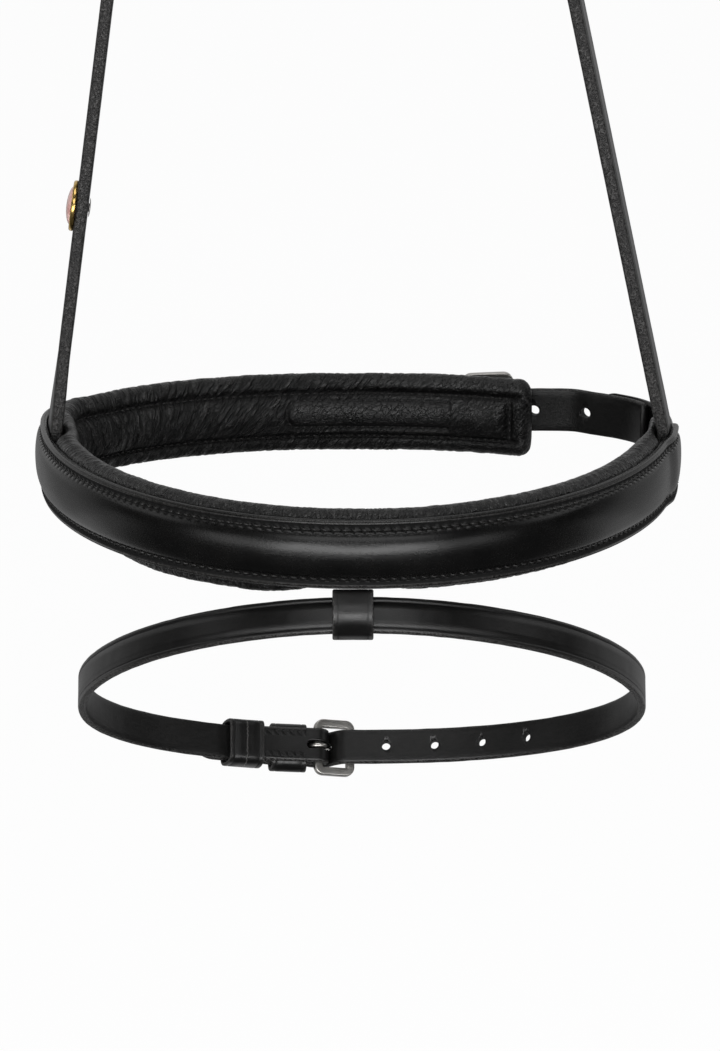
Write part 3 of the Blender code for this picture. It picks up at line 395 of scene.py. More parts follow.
def head_course():
    """Up the left cheek, over the poll and down the right cheek, leaning in from the noseband."""
    radius = POLL_RADIUS + HEAD_STRAP_THICK / 2
    depth = -RUNNING_GAP - HEAD_STRAP_THICK / 2
    bend = NOSE_CENTRE[2] + STRAP_BEND_ABOVE
    foot_z = NOSE_CENTRE[2] - STRAP_SEWN_DEPTH
    feet, aims = [], []
    for way in (-1, 1):
        foot = NOSE.place(way * STRAP_S, depth + max(0.0, way * STRAP_FLARE), 0.0)
        reach = bend + POLL_RADIUS
        turn = math.acos(radius / math.hypot(foot[0], reach))
        feet.append(foot[0])
        aims.append(math.atan2(reach, foot[0]) + way * turn)
    corners = [(feet[0], foot_z), (feet[0], bend)]
    for aim in np.linspace(aims[0] % (2 * math.pi), aims[1], 49):
        corners.append((radius * math.cos(aim), radius * math.sin(aim) - POLL_RADIUS))
    corners += [(feet[1], bend), (feet[1], foot_z)]
    runs = []
    for a, b in zip(corners, corners[1:]):
        pieces = math.ceil(math.dist(a, b) / COURSE_STEP)
        runs.append(np.linspace(a, b, pieces, endpoint=False))
    path = np.vstack(runs + [corners[-1:]])
    along = unit(np.gradient(path, axis=0))
    toe = math.asin(NOSE.place(STRAP_S, 0, 0)[1] - NOSE.place(STRAP_S, 1, 0)[1])
    above = path[:, 1] - NOSE_CENTRE[2]
    right = toe * (1 - ease((above - STRAP_LEAN_HEIGHT) / STRAP_LEAN_FADE))
    left = toe * (1 - ease((above - LEFT_LEAN_HEIGHT) / LEFT_LEAN_FADE))
    lean = np.where(path[:, 0] < 0, left, right)
    cosine, sine = np.cos(lean)[:, None], np.sin(lean)[:, None]
    out = np.column_stack([-along[:, 1], np.zeros(len(path)), along[:, 0]])
    rear = np.array([[0.0, 1.0, 0.0]])
    points = np.column_stack([path[:, 0], np.full(len(path), foot[1]), path[:, 1]])
    return Course(points, cosine * out - sine * rear, cosine * rear + sine * out)


HEAD = head_course()


def head_at_height(above_nose, left):
    target = NOSE_CENTRE[2] + above_nose
    heights = HEAD.points[:, 2]
    top = int(np.argmax(heights))
    if left:
        return float(np.interp(target, heights[:top], HEAD.lengths[:top]))
    return float(np.interp(-target, -heights[top:], HEAD.lengths[top:]))


# Materials


class Value:
    """A number or colour in a finish. Arithmetic on it adds Math nodes."""

    def __init__(self, finish, socket):
        self.finish, self.socket = finish, socket

    def math(self, operation, *others, clamp=False):
        settings = {"operation": operation, "use_clamp": clamp}
        inputs = dict(enumerate((self,) + others))
        return self.finish.node("ShaderNodeMath", settings, inputs)

    def __add__(self, other):
        return self.math("ADD", other)

    __radd__ = __add__

    def __mul__(self, other):
        return self.math("MULTIPLY", other)

    __rmul__ = __mul__

    def __sub__(self, other):
        return self.math("SUBTRACT", other)

    def __rsub__(self, other):
        return (self * -1) + other

    def __truediv__(self, other):
        return self.math("DIVIDE", other)

    def __abs__(self):
        return self.math("ABSOLUTE")

    def between(self, low, high):
        """0 at low and 1 at high, held at both ends."""
        return ((self - low) / (high - low)).math("ADD", 0.0, clamp=True)


class Nodes:
    """A node tree. One method adds any node: its type, its settings, then its inputs."""

    def __init__(self, tree):
        self.tree = tree

    def put(self, socket, value):
        if isinstance(value, Value):
            self.tree.links.new(value.socket, socket)
        elif hasattr(value, "__len__") and len(value) == 3 and len(socket.default_value) == 4:
            socket.default_value = (*value, 1.0)
        else:
            socket.default_value = value

    def node(self, kind, settings=None, inputs=None, output=0):
        made = self.tree.nodes.new(kind)
        for key, value in (settings or {}).items():
            setattr(made, key, value)
        for key, value in (inputs or {}).items():
            self.put(made.inputs[key], value)
        return Value(self, made.outputs[output])

    def outputs(self, kind, inputs, keys):
        made = self.node(kind, None, inputs).socket.node
        return [Value(self, made.outputs[key]) for key in keys]

    def depth(self, vector):
        """How far back a place or a direction is."""
        return self.node("ShaderNodeSeparateXYZ", None, {0: vector}, output=1)

    def mix_shaders(self, factor, a, b):
        return self.node("ShaderNodeMixShader", None, {0: factor, 1: a, 2: b})

    def white_to_view(self, plain, behind):
        """White backdrop as it is seen and reflected, over the plain shader that gives light.

        Reflections are white only from behind the object; in front of it the studio is dark.
        """
        keys = ("Is Camera Ray", "Is Glossy Ray", "Is Transmission Ray")
        camera, glossy, through = self.outputs("ShaderNodeLightPath", None, keys)
        colour = {"Color": (1, 1, 1)}
        white, dark = (self.node("ShaderNodeEmission", None, colour | {"Strength": strength})
                       for strength in (1.0, DARK_LEVEL))
        lit = self.mix_shaders(glossy, plain, self.mix_shaders(behind, dark, white))
        return self.mix_shaders((camera + through).math("MINIMUM", 1.0), lit, white)


class Finish(Nodes):
    """A material built from nodes, with a Principled shader."""

    def __init__(self, name, **constants):
        self.material = bpy.data.materials.new(name)
        self.material.use_nodes = True
        super().__init__(self.material.node_tree)
        self.shader = self.tree.nodes["Principled BSDF"]
        for key, value in constants.items():
            self.socket(key).default_value = value

    def socket(self, key):
        return self.shader.inputs[key.replace("_", " ").title().replace("Ior", "IOR")]

    def shade(self, **values):
        for key, value in values.items():
            self.put(self.socket(key), value)

    def local(self):
        return self.node("ShaderNodeTexCoord", output="Object")

    def stretched(self, vector, scale):
        return self.node("ShaderNodeVectorMath", {"operation": "MULTIPLY"}, {0: vector, 1: scale})

    def moved(self, vector, shift):
        return self.node("ShaderNodeVectorMath", {"operation": "ADD"}, {0: vector, 1: shift})

    def noise(self, vector, size, detail=3.0, rough=0.55, warp=0.0, output=0):
        """Noise whose features are about size metres across."""
        inputs = {"Vector": vector, "Scale": 1 / size, "Detail": detail, "Roughness": rough,
                  "Distortion": warp}
        return self.node("ShaderNodeTexNoise", None, inputs, output)

    def cells(self, vector, size):
        """Distance to the edges of cells about size metres across."""
        settings = {"feature": "DISTANCE_TO_EDGE"}
        return self.node("ShaderNodeTexVoronoi", settings, {"Vector": vector, "Scale": 1 / size})

    def mix(self, factor, a, b):
        settings = {"data_type": "RGBA", "clamp_factor": True}
        return self.node("ShaderNodeMix", settings, {0: factor, 6: a, 7: b}, output=2)

    def strap(self):
        """Place in the strap as a vector, then the distances along it and across it."""
        lay = self.node("ShaderNodeAttribute", {"attribute_name": "lay"}, output="Vector")
        return lay, *self.outputs("ShaderNodeSeparateXYZ", {0: lay}, range(2))

    def mask(self, name):
        return self.node("ShaderNodeAttribute", {"attribute_name": name}, output="Fac")

    def slots(self, along, across, beside, pitch=STITCH_PITCH):
        """Slanted awl slots of a sewn row, and the leather that puffs up between them."""
        phase = ((along + across * STITCH_SLANT) * (1 / pitch)).math("FRACT")
        from_slot = 0.5 - abs(phase - 0.5)
        near = 1 - abs(beside).between(0.75 * MM, 1.05 * MM)
        wide = 0.19 - beside * 120
        slots = (1 - (from_slot / wide).between(0.7, 1.15)) * near
        aside = abs(beside - 0.4 * MM).between(0.4 * MM, 1.1 * MM)
        return slots, from_slot.between(0.10, 0.45) * (1 - aside)

    def done(self, tone, rough, relief, depth):
        """Sets the colour, the roughness and a bump of the given depth."""
        inputs = {"Height": relief, "Distance": depth, "Strength": 1.0}
        normal = self.node("ShaderNodeBump", None, inputs)
        self.shade(base_color=tone, roughness=rough, normal=normal)
        return self.material


def bridle_leather():
    """Satin black leather, waxed smooth: fine pores, awl slots in painted shade, and high lines
    lighter for wear and painted highlight.
    """
    finish = Finish("bridle_leather", specular_ior_level=0.32)
    local = finish.local()
    lay, along, across = finish.strap()
    pores = finish.cells(local, 0.55 * MM).between(0.0, 0.30)
    cloud = finish.noise(local, 14 * MM, 4)
    fine = finish.noise(local, 0.9 * MM)
    drawn = finish.noise(finish.stretched(lay, (0.06, 1.0, 1.0)), 1.3 * MM)
    slots, puff = finish.slots(along, across, finish.mask("beside"))
    # Painted shade: dark is near black in the awl slots and in the sunk row beside them
    dark = finish.mask("pit").math("MAXIMUM", slots)
    tone = finish.mix(cloud.between(0.3, 0.7), (0.0010, 0.0010, 0.0010), (0.0026, 0.0025, 0.0024))
    # Wear and painted highlight: the rubbed border, the bead and the ridges are lighter
    tone = finish.mix(finish.mask("rub") * fine.between(0.3, 0.7), tone, (0.030, 0.029, 0.028))
    # Painted highlight: the leather puffed up between the slots is lighter
    tone = finish.mix(puff * 0.35, tone, (0.014, 0.0134, 0.0131))
    tone = finish.mix(dark, tone, (0.0004, 0.0004, 0.0004))
    rough = 0.17 + cloud * 0.06 + fine * 0.08 + drawn * 0.05 + dark * 0.6
    relief = pores * 0.3 + fine * 0.7 + cloud * 0.4 + drawn * 0.9 + puff * 4.5 - slots * 14.0
    return finish.done(tone, rough, relief, 0.030 * MM)


def strap_leather():
    """Strap leather: grain on the outer face, close fibres on the inner face, fuzzy cut edges."""
    finish = Finish("strap_leather", specular_ior_level=0.40)
    local = finish.local()
    lay, along, across = finish.strap()
    flesh, edge = finish.mask("flesh"), finish.mask("edge")
    cloud = finish.noise(local, 11 * MM, 4)
    fine = finish.noise(local, 0.7 * MM, 4, 0.6)
    fibre = finish.noise(finish.stretched(lay, (0.35, 1.0, 1.0)), 0.9 * MM, 5, 0.65)
    pebble = finish.cells(local, 0.50 * MM).between(0.0, 0.35)
    speck = finish.noise(local, 0.85 * MM, 2).between(0.40, 0.60)
    grain_tone = finish.mix(cloud.between(0.3, 0.7),
                            (0.0014, 0.0013, 0.0013), (0.0032, 0.0031, 0.0030))
    flesh_tone = finish.mix(fibre.between(0.3, 0.72),
                            (0.0010, 0.0010, 0.0010), (0.0046, 0.0044, 0.0042))
    edge_tone = finish.mix(speck, (0.0022, 0.0021, 0.0020), (0.0230, 0.0219, 0.0213))
    tone = finish.mix(edge, finish.mix(flesh, grain_tone, flesh_tone), edge_tone)
    # Wear and painted highlight: the ridges beside the edges are lighter
    tone = finish.mix(finish.mask("rub") * fine.between(0.35, 0.7), tone, (0.030, 0.0285, 0.0275))
    slots, puff = finish.slots(along, across, finish.mask("beside"), ROW_PITCH)
    wave = (finish.noise(finish.stretched(lay, (1.0, 0.0, 0.0)), 1.6 * MM) - 0.5) * (2.2 * MM)
    joint = abs(across - wave).between(0.10 * MM, 0.28 * MM)
    fray = (1 - joint) * finish.mask("seam") * (1 - flesh)
    tone = finish.mix(fray * fine.between(0.3, 0.6), tone, (0.052, 0.050, 0.048))
    # Painted shade: dark is near black in the awl slots and along the pressed creases
    dark = finish.mask("pit").math("MAXIMUM", slots)
    tone = finish.mix(dark, tone, (0.0005, 0.0005, 0.0005))
    rough = 0.22 + cloud * 0.08 + fine * 0.08 + flesh * 0.08 + edge * 0.22 + dark * 0.3
    relief = fine * 0.5 + pebble * 0.2 + edge * speck * 3.5 + fibre * flesh * 0.9
    relief = relief - slots * 5.0 + puff * 1.5 + fray * fine * 3.0
    return finish.done(tone, rough, relief, 0.060 * MM)


def lining_leather():
    """Soft lining leather: pebbled grain, cracks, and fine folds across the padding, with painted
    highlight on their ridges and painted shade in their valleys, deep folds and sewn rows.
    """
    finish = Finish("lining_leather", specular_ior_level=0.42)
    local = finish.local()
    lay, along, across = finish.strap()
    gather, fold = finish.mask("gather"), finish.mask("fold")
    cloud = finish.noise(local, 9 * MM, 4)
    fine = finish.noise(local, 0.45 * MM)

    def scattered(vector, size, detail, reach):
        """Moves places about, so that what is drawn on them looks less even."""
        shift = finish.noise(local, size, detail, output=1)
        return finish.moved(vector, finish.stretched(shift, (reach,) * 3))

    leaned = finish.node("ShaderNodeCombineXYZ", None, {0: finish.mask("lean") * across})
    drawn = finish.moved(scattered(lay, 3.0 * MM, 3, 0.0016), leaned)
    long_folds = finish.noise(finish.stretched(drawn, (1.0, 0.22, 0.22)), 1.9 * MM, 1.2)
    short_folds = finish.noise(finish.stretched(drawn, (1.0, 0.55, 0.55)), 1.5 * MM, 1.5)
    front = along.between(*SHORT_FOLDS_FROM)
    folds = (long_folds + front * (short_folds - long_folds)).between(0.43, 0.60)
    pebble = finish.cells(scattered(local, 1.4 * MM, 2, 0.0006), 0.95 * MM).between(0.0, 0.30)
    cracks = finish.cells(drawn, 2.3 * MM).between(0.0, 0.07)
    tone = finish.mix(pebble * cracks, (0.0006, 0.0006, 0.0006), (0.0020, 0.0019, 0.0019))
    tone = finish.mix(cloud.between(0.35, 0.75) * 0.5, tone, (0.0034, 0.0033, 0.0032))
    # Painted highlight on the ridges of the gathered folds, painted shade between them
    tone = finish.mix(gather * folds, tone, (0.0075, 0.0072, 0.0070))
    tone = finish.mix(gather * (1 - folds), tone, (0.0007, 0.0007, 0.0007))
    # Painted shade in the deep folds and along the sunk sewn rows
    tone = finish.mix(fold, tone, (0.0006, 0.0006, 0.0006))
    rough = 0.20 + cloud * 0.09 + fine * 0.08 + fold * 0.5 + gather * (1 - folds) * 0.2
    relief = pebble * 0.35 + cracks * 0.7 + fine * 0.35 + gather * folds * 3.9
    return finish.done(tone, rough, relief, 0.17 * MM)


def waxed_thread():
    """Black waxed thread with its twist, lighter on the crests of the twist as painted highlight.
    """
    finish = Finish("waxed_thread", specular_ior_level=0.5)
    along, across = finish.strap()[1:]
    twist = ((along * (1 / (0.55 * MM)) + across * (0.8 / MM)) * 6.2832).math("SINE")
    fuzz = finish.noise(finish.local(), 0.25 * MM, 2)
    # Painted highlight on the crests of the twist, painted shade in its grooves
    tone = finish.mix(twist.between(-1, 1) * fuzz, (0.006, 0.0058, 0.0057), (0.030, 0.029, 0.028))
    return finish.done(tone, 0.36 + fuzz * 0.2, twist * 0.5 + fuzz, 0.06 * MM)


def buckle_steel():
    """Polished stainless steel with soft scratches."""
    finish = Finish("buckle_steel", metallic=1.0)
    local = finish.local()
    cloud = finish.noise(local, 3.5 * MM, 4)
    scratch = finish.noise(finish.stretched(local, (1.0, 0.12, 1.0)), 0.35 * MM, 4, 0.7)
    tone = finish.mix(cloud, (0.36, 0.35, 0.335), (0.56, 0.545, 0.52))
    rough = 0.20 + scratch * 0.18 + cloud * 0.06
    return finish.done(tone, rough, scratch * 0.4 + cloud, 0.04 * MM)


def rim_brass():
    """Polished brass, a little uneven from casting."""
    finish = Finish("rim_brass", metallic=1.0)
    cloud = finish.noise(finish.local(), 1.6 * MM, 4)
    tone = finish.mix(cloud.between(0.35, 0.7), (0.52, 0.33, 0.09), (0.80, 0.58, 0.22))
    return finish.done(tone, 0.12 + cloud * 0.16, cloud, 0.015 * MM)


def dome_resin():
    """Plain cast dome, rosy and slightly mottled under a gloss."""
    finish = Finish("dome_resin", coat_weight=0.6, coat_roughness=0.05)
    cloud = finish.noise(finish.local(), 2.2 * MM, 5, 0.6, 0.6)
    tone = finish.mix(cloud.between(0.3, 0.7), (0.34, 0.13, 0.11), (0.62, 0.42, 0.38))
    return finish.done(tone, 0.22 + cloud * 0.1, cloud, 0.04 * MM)


def pressed_felt():
    """Grey felt with a short fuzz."""
    finish = Finish("pressed_felt", sheen_weight=0.3)
    fuzz = finish.noise(finish.local(), 0.5 * MM, 5, 0.7)
    tone = finish.mix(fuzz, (0.025, 0.024, 0.024), (0.075, 0.073, 0.072))
    return finish.done(tone, 0.88 + fuzz * 0.1, fuzz, 0.25 * MM)


BRIDLE, STRAP, LINING = bridle_leather(), strap_leather(), lining_leather()
THREAD, STEEL, BRASS = waxed_thread(), buckle_steel(), rim_brass()
RESIN, FELT = dome_resin(), pressed_felt()


# Meshes


def wander(x, y, seed):
    """Smooth noise from -1 to 1 with a feature about every unit of x and y."""
    x, y = np.broadcast_arrays(np.asarray(x, float), np.asarray(y, float))
    column, row = np.floor(x), np.floor(y)
    fx, fy = x - column, y - row
    fx, fy = fx ** 3 * (fx * (6 * fx - 15) + 10), fy ** 3 * (fy * (6 * fy - 15) + 10)

    def lattice(i, j):
        mixed = (i * 374761393 + j * 668265263 + seed * 974634777).astype(np.int64)
        mixed = ((mixed ^ (mixed >> 13)) & 0x7FFFFFFF) * 1274126177 & 0x7FFFFFFF
        mixed = (mixed ^ (mixed >> 16)) & 0xFFFF
        return mixed / 32767.5 - 1

    column, row = column.astype(np.int64), row.astype(np.int64)
    top = lattice(column, row) * (1 - fx) + lattice(column + 1, row) * fx
    low = lattice(column, row + 1) * (1 - fx) + lattice(column + 1, row + 1) * fx
    return top * (1 - fy) + low * fy


def add_object(name, data):
    made = bpy.data.objects.new(name, data)
    bpy.context.scene.collection.objects.link(made)
    return made


def solid(name, points, faces, material=None):
    """Closed mesh from points and faces, turned right side out. A tool has no material."""
    mesh = bpy.data.meshes.new(name)
    mesh.from_pydata(np.asarray(points).reshape(-1, 3).tolist(), [], faces)
    if material:
        mesh.shade_smooth()
        mesh.materials.append(material)
    if volume(mesh) < 0:
        mesh.flip_normals()
    return add_object(name, mesh)


def write_mask(made, key, values):
    """Writes one value for each point, or a vector where it is the lay."""
    kind, field = ("FLOAT_VECTOR", "vector") if key == "lay" else ("FLOAT", "value")
    layer = made.data.attributes.new(key, kind, "POINT")
    layer.data.foreach_set(field, np.asarray(values, np.float32).ravel())


def shell(name, points, material, wrap=False, **masks):
    """Mesh from rows of points, each row a closed outline. Masks give one value for each point."""
    rows, count = points.shape[:2]
    index = np.arange(rows * count).reshape(rows, count)
    after = np.roll(index, -1, axis=1)
    if wrap:
        following, following_after = np.roll(index, -1, axis=0), np.roll(after, -1, axis=0)
    else:
        following, following_after = index[1:], after[1:]
        index, after = index[:-1], after[:-1]
    quads = np.stack([index, after, following_after, following], axis=-1).reshape(-1, 4)
    faces = quads.tolist()
    if not wrap:
        faces.append(list(range(count))[::-1])
        faces.append(list(range((rows - 1) * count, rows * count)))
    made = solid(name, points, faces, material)
    for key, values in masks.items():
        write_mask(made, key, values if key == "lay" else np.broadcast_to(values, (rows, count)))
    return made


def volume(mesh):
    """Six times the signed volume of a closed mesh."""
    mesh.calc_loop_triangles()
    corners = np.empty(len(mesh.loop_triangles) * 3, np.int64)
    mesh.loop_triangles.foreach_get("vertices", corners)
    places = np.empty(len(mesh.vertices) * 3)
    mesh.vertices.foreach_get("co", places)
    a, b, c = places.reshape(-1, 3)[corners.reshape(-1, 3)].transpose(1, 0, 2)
    return float(np.einsum("ij,ij->", a, np.cross(b, c)))


def dress(piece, body, slot, *nodes):
    """Puts a finished piece on its body and hides the plain solids it stands for."""
    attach(piece, body)
    if nodes:
        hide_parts(*nodes)


def resample(path, step, closed=False):
    """Points along a path at equal steps, as an array."""
    path = np.asarray(path, float)
    if closed:
        path = np.vstack([path, path[:1]])
    lengths = running_length(path)
    count = max(2, int(math.ceil(lengths[-1] / step)) + 1)
    wanted = np.linspace(0, lengths[-1], count)
    if closed:
        wanted = wanted[:-1]
    return between_rows(wanted, lengths, path), wanted


def soften(path, closed=False):
    """Cuts the corners of a path three times, keeping its two ends."""
    path = np.asarray(path, float)
    for _ in range(3):
        after = np.roll(path, -1, axis=0) if closed else path[1:]
        before = path if closed else path[:-1]
        cut = np.empty((len(before) * 2, 2))
        cut[0::2] = 0.75 * before + 0.25 * after
        cut[1::2] = 0.25 * before + 0.75 * after
        if not closed:
            cut[0], cut[-1] = path[0], path[-1]
        path = cut
    return path


def arc(x, y, radius, degrees, rise=None):
    """Points of a round stretch, or of an oval one where its rise differs from its radius."""
    rise = radius if rise is None else rise
    turns = [math.radians(angle) for angle in degrees]
    return [(x + radius * math.cos(turn), y + rise * math.sin(turn)) for turn in turns]


def sweep(place, path, lengths, section, closed=False, outer=1):
    """Rows of points along a path of (run, n), with their lay, from sections of (height, across).

    outer is -1 for a path that runs so that its left side is the strap's inner face.
    """
    if closed:
        along = unit(np.roll(path, -1, axis=0) - np.roll(path, 1, axis=0))
    else:
        along = unit(np.gradient(path, axis=0))
    height, across = section[..., 0], section[..., 1]
    run = path[:, :1] - along[:, 1:] * height * outer
    level = path[:, 1:] + along[:, :1] * height * outer
    points = place(run, level, across)
    lay = np.stack([np.broadcast_to(lengths[:, None], across.shape), across, height], axis=-1)
    return points, lay


def round_section(radii):
    """Round outlines of (height, across), one for each radius."""
    turns = 2 * math.pi * (np.arange(16) + 0.5) / 16
    return np.stack([np.outer(radii, np.cos(turns)), np.outer(radii, np.sin(turns))], axis=-1)


def strap_section(thick, width, crease):
    """Outlines of a strap: rounded edges and a pressed crease line beside each.

    thick and width hold one value for each station. Heights are positive on the outer face.
    """
    thick, width = np.broadcast_arrays(np.asarray(thick, float), width)
    rows = []
    half = width / 2

    def add(sign, inset, face, drop=0):
        across = sign * np.maximum(half - inset, 0.0)
        rows.append(np.stack([face * np.maximum(thick / 2 - drop, 0.0), across], axis=-1))

    def corner(sign, face, rounding, angles):
        radius = np.minimum(rounding * thick, ROUND_LIMIT)
        for turn in np.radians(angles):
            add(sign, radius * (1 - math.cos(turn)), face, radius * (1 - math.sin(turn)))

    def pressed(sign, order):
        for shift, depth in CREASE_OUTLINE[::order]:
            add(sign, CREASE_INSET + shift, 1, depth * crease)

    up = (0, 22, 45, 67, 90)
    flat_inset = CREASE_INSET + FACE_PAST_CREASE
    corner(-1, 1, ROUND_OUTER, up)
    pressed(-1, 1)
    for sign, share in ((-1, 0.5), (-1, 1.0), (1, 0.5)):
        add(sign, flat_inset + (half - flat_inset) * share, 1)
    pressed(1, -1)
    corner(1, 1, ROUND_OUTER, up[::-1])
    corner(1, -1, ROUND_INNER, up)
    for sign, share in ((1, 0.4), (1, 0.8), (-1, 1.0), (-1, 0.8), (-1, 0.4)):
        add(sign, half * share, -1)
    corner(-1, -1, ROUND_INNER, up[::-1])
    return np.stack(rows, axis=1)


def strap_masks(lay, thick, width):
    """Where the flesh side, the cut edge, the rubbed ridges and the creases of a strap are, with
    ridges lighter for wear and painted highlight and creases in painted shade.
    """
    height, across = lay[..., 2], lay[..., 1]
    flesh = ease((-height / (thick[:, None] / 2) - 0.2) / 0.6)
    inset = width[:, None] / 2 - np.abs(across)
    edge = ease((EDGE_INSET - inset) / EDGE_FADE)
    ridge = in_zone(inset, RIDGE_ZONE) * (height > 0)
    crease = in_zone(inset, CREASE_ZONE) * (height > 0)
    # Wear and painted highlight on the ridge; painted shade along the crease
    return {"flesh": flesh * (1 - edge), "edge": edge, "rub": 0.5 * ridge, "pit": 0.8 * crease}


def roughen(points, lay, amount, size, seed):
    """Uneven thickness that hand-cut leather has, as a push away from the middle of each row."""
    middle = points.mean(axis=1, keepdims=True)
    push = wander(lay[..., 0] / size, lay[..., 1] / size + 7 * np.sign(lay[..., 2]), seed)
    away = points - middle
    away /= np.linalg.norm(away, axis=-1, keepdims=True) + 1e-9
    return points + away * (push * amount)[..., None]


def round_end(width, lengths, start, stop):
    """Widths that close a strap's ends to a blunt point over the given lengths."""
    width = width.copy()
    for near, reach in ((lengths, start), (lengths[-1] - lengths, stop)):
        if reach:
            inside = np.clip(1 - near / reach, 0, 1)
            width *= np.sqrt(np.maximum(1 - inside ** 2.2, 0.02))
    return width


def ribbon(name, place, path, thick_at, width_at, crease, seed, step=STRAP_STEP, start=None,
           stop=None, closed=False, rough=UNEVEN, outer=1, seam=0.0, creased=WHOLE, rows=None):
    """Strap along a path of (run, n), whose thickness and width follow the run.

    creased is the part of its length with pressed lines, and rows that with sewn rows.
    """
    path, lengths = resample(path, step, closed)
    thick, width = thick_at(path[:, 0]), round_end(width_at(path[:, 0]), lengths, start, stop)
    inside = ease((lengths - creased[0]) / CREASE_END_FADE)
    inside = inside * ease((creased[1] - lengths) / CREASE_END_FADE)
    section = strap_section(thick, width, crease * inside)
    points, lay = sweep(place, path, lengths, section, closed, outer)
    points = roughen(points, lay, rough, UNEVEN_SIZE, seed)
    masks = strap_masks(lay, thick, width)
    # The painted shade along the crease fades where the crease ends
    masks["pit"] = masks["pit"] * inside[:, None]
    sewn = False
    if rows:
        sewn = ((lengths > rows[0]) & (lengths < rows[1]))[:, None] & (lay[..., 2] > 0)
    beside = np.where(sewn, width[:, None] / 2 - np.abs(lay[..., 1]) - ROW_INSET, NO_ROW)
    return shell(name, points, STRAP, wrap=closed, lay=lay, seam=seam, beside=beside, **masks)


def cutter(place, outlines, levels):
    """One prism for each outline of (run, v), between two levels of n."""
    points, faces = [], []
    for outline in outlines:
        base, count = len(points), len(outline)
        for level in levels:
            points += [place(a, level, v) for a, v in outline]
        for i in range(count):
            j = (i + 1) % count
            faces.append((base + i, base + j, base + count + j, base + count + i))
        faces.append(tuple(range(base + count - 1, base - 1, -1)))
        faces.append(tuple(range(base + count, base + 2 * count)))
    return solid("hole_cutter", points, faces)


def cut(target, tool):
    """Takes the tool's shape out of the target for good, and removes the tool."""
    modifier = target.modifiers.new("holes", "BOOLEAN")
    modifier.operation, modifier.solver, modifier.object = "DIFFERENCE", "EXACT", tool
    graph = bpy.context.evaluated_depsgraph_get()
    cleared = bpy.data.meshes.new_from_object(target.evaluated_get(graph))
    target.modifiers.clear()
    target.data = cleared
    bpy.data.objects.remove(tool, do_unlink=True)


def oval(centre, length, width, steps=20):
    straight = (length - width) / 2
    points = []
    for i in range(steps):
        turn = 2 * math.pi * (i + 0.5) / steps
        shift = math.copysign(straight, math.cos(turn))
        points.append((centre + shift + width / 2 * math.cos(turn), width / 2 * math.sin(turn)))
    return points


def stitches(name, place, row, slot, pitch, radius, slant, sink, gap):
    """Row of thread segments. row holds (s, level, v) points and place sets them in space."""
    row = np.asarray(row, float)
    spots = place(row[:, 0], row[:, 1], row[:, 2])
    lengths = running_length(row[:, ::2])
    count = max(1, int(round(lengths[-1] / pitch)))
    pitch = lengths[-1] / count
    sides, steps = 6, 7
    lifts = unit(place(row[:, 0], row[:, 1] + MM, row[:, 2]) - spots)
    share = np.linspace(0, 1, steps)
    blocks, lays = [], []
    for k in range(count):
        at = (k + gap / 2 + share * (1 - gap)) * pitch
        middle, up = (between_rows(at, lengths, table) for table in (spots, lifts))
        across = np.cross(up, unit(np.gradient(middle, axis=0)))
        jitter = wander(k * 1.7, 3.1, len(name))
        bow = np.sin(math.pi * share)[:, None]
        lean = (share - 0.5)[:, None] * (slant + 0.12 * jitter) * pitch * 0.5
        middle = middle + up * (radius * (0.9 + 0.12 * jitter) * bow - sink * (1 - bow))
        middle = middle + across * lean
        size = radius * (0.62 + 0.38 * np.sin(math.pi * share))
        turns = 2 * math.pi * (np.arange(sides) + 0.5) / sides
        ring = (across[:, None] * np.cos(turns)[None, :, None] * 1.15
                + up[:, None] * np.sin(turns)[None, :, None] * 0.85)
        blocks.append(middle[:, None] + ring * size[:, None, None])
        lay = np.zeros((steps, sides, 3))
        lay[..., 0], lay[..., 1] = at[:, None], turns[None] * radius
        lays.append(lay)
    index = np.arange(count * steps * sides).reshape(count, steps, sides)
    after = np.roll(index, -1, axis=2)
    quads = np.stack([index[:, :-1], after[:, :-1], after[:, 1:], index[:, 1:]], axis=-1)
    faces = quads.reshape(-1, 4).tolist()
    faces += index[:, 0, ::-1].tolist() + index[:, -1].tolist()
    made = solid(name, np.stack(blocks), faces, THREAD)
    write_mask(made, "lay", np.stack(lays))
    dress(made, "headpiece", slot)


# Buckles and keepers


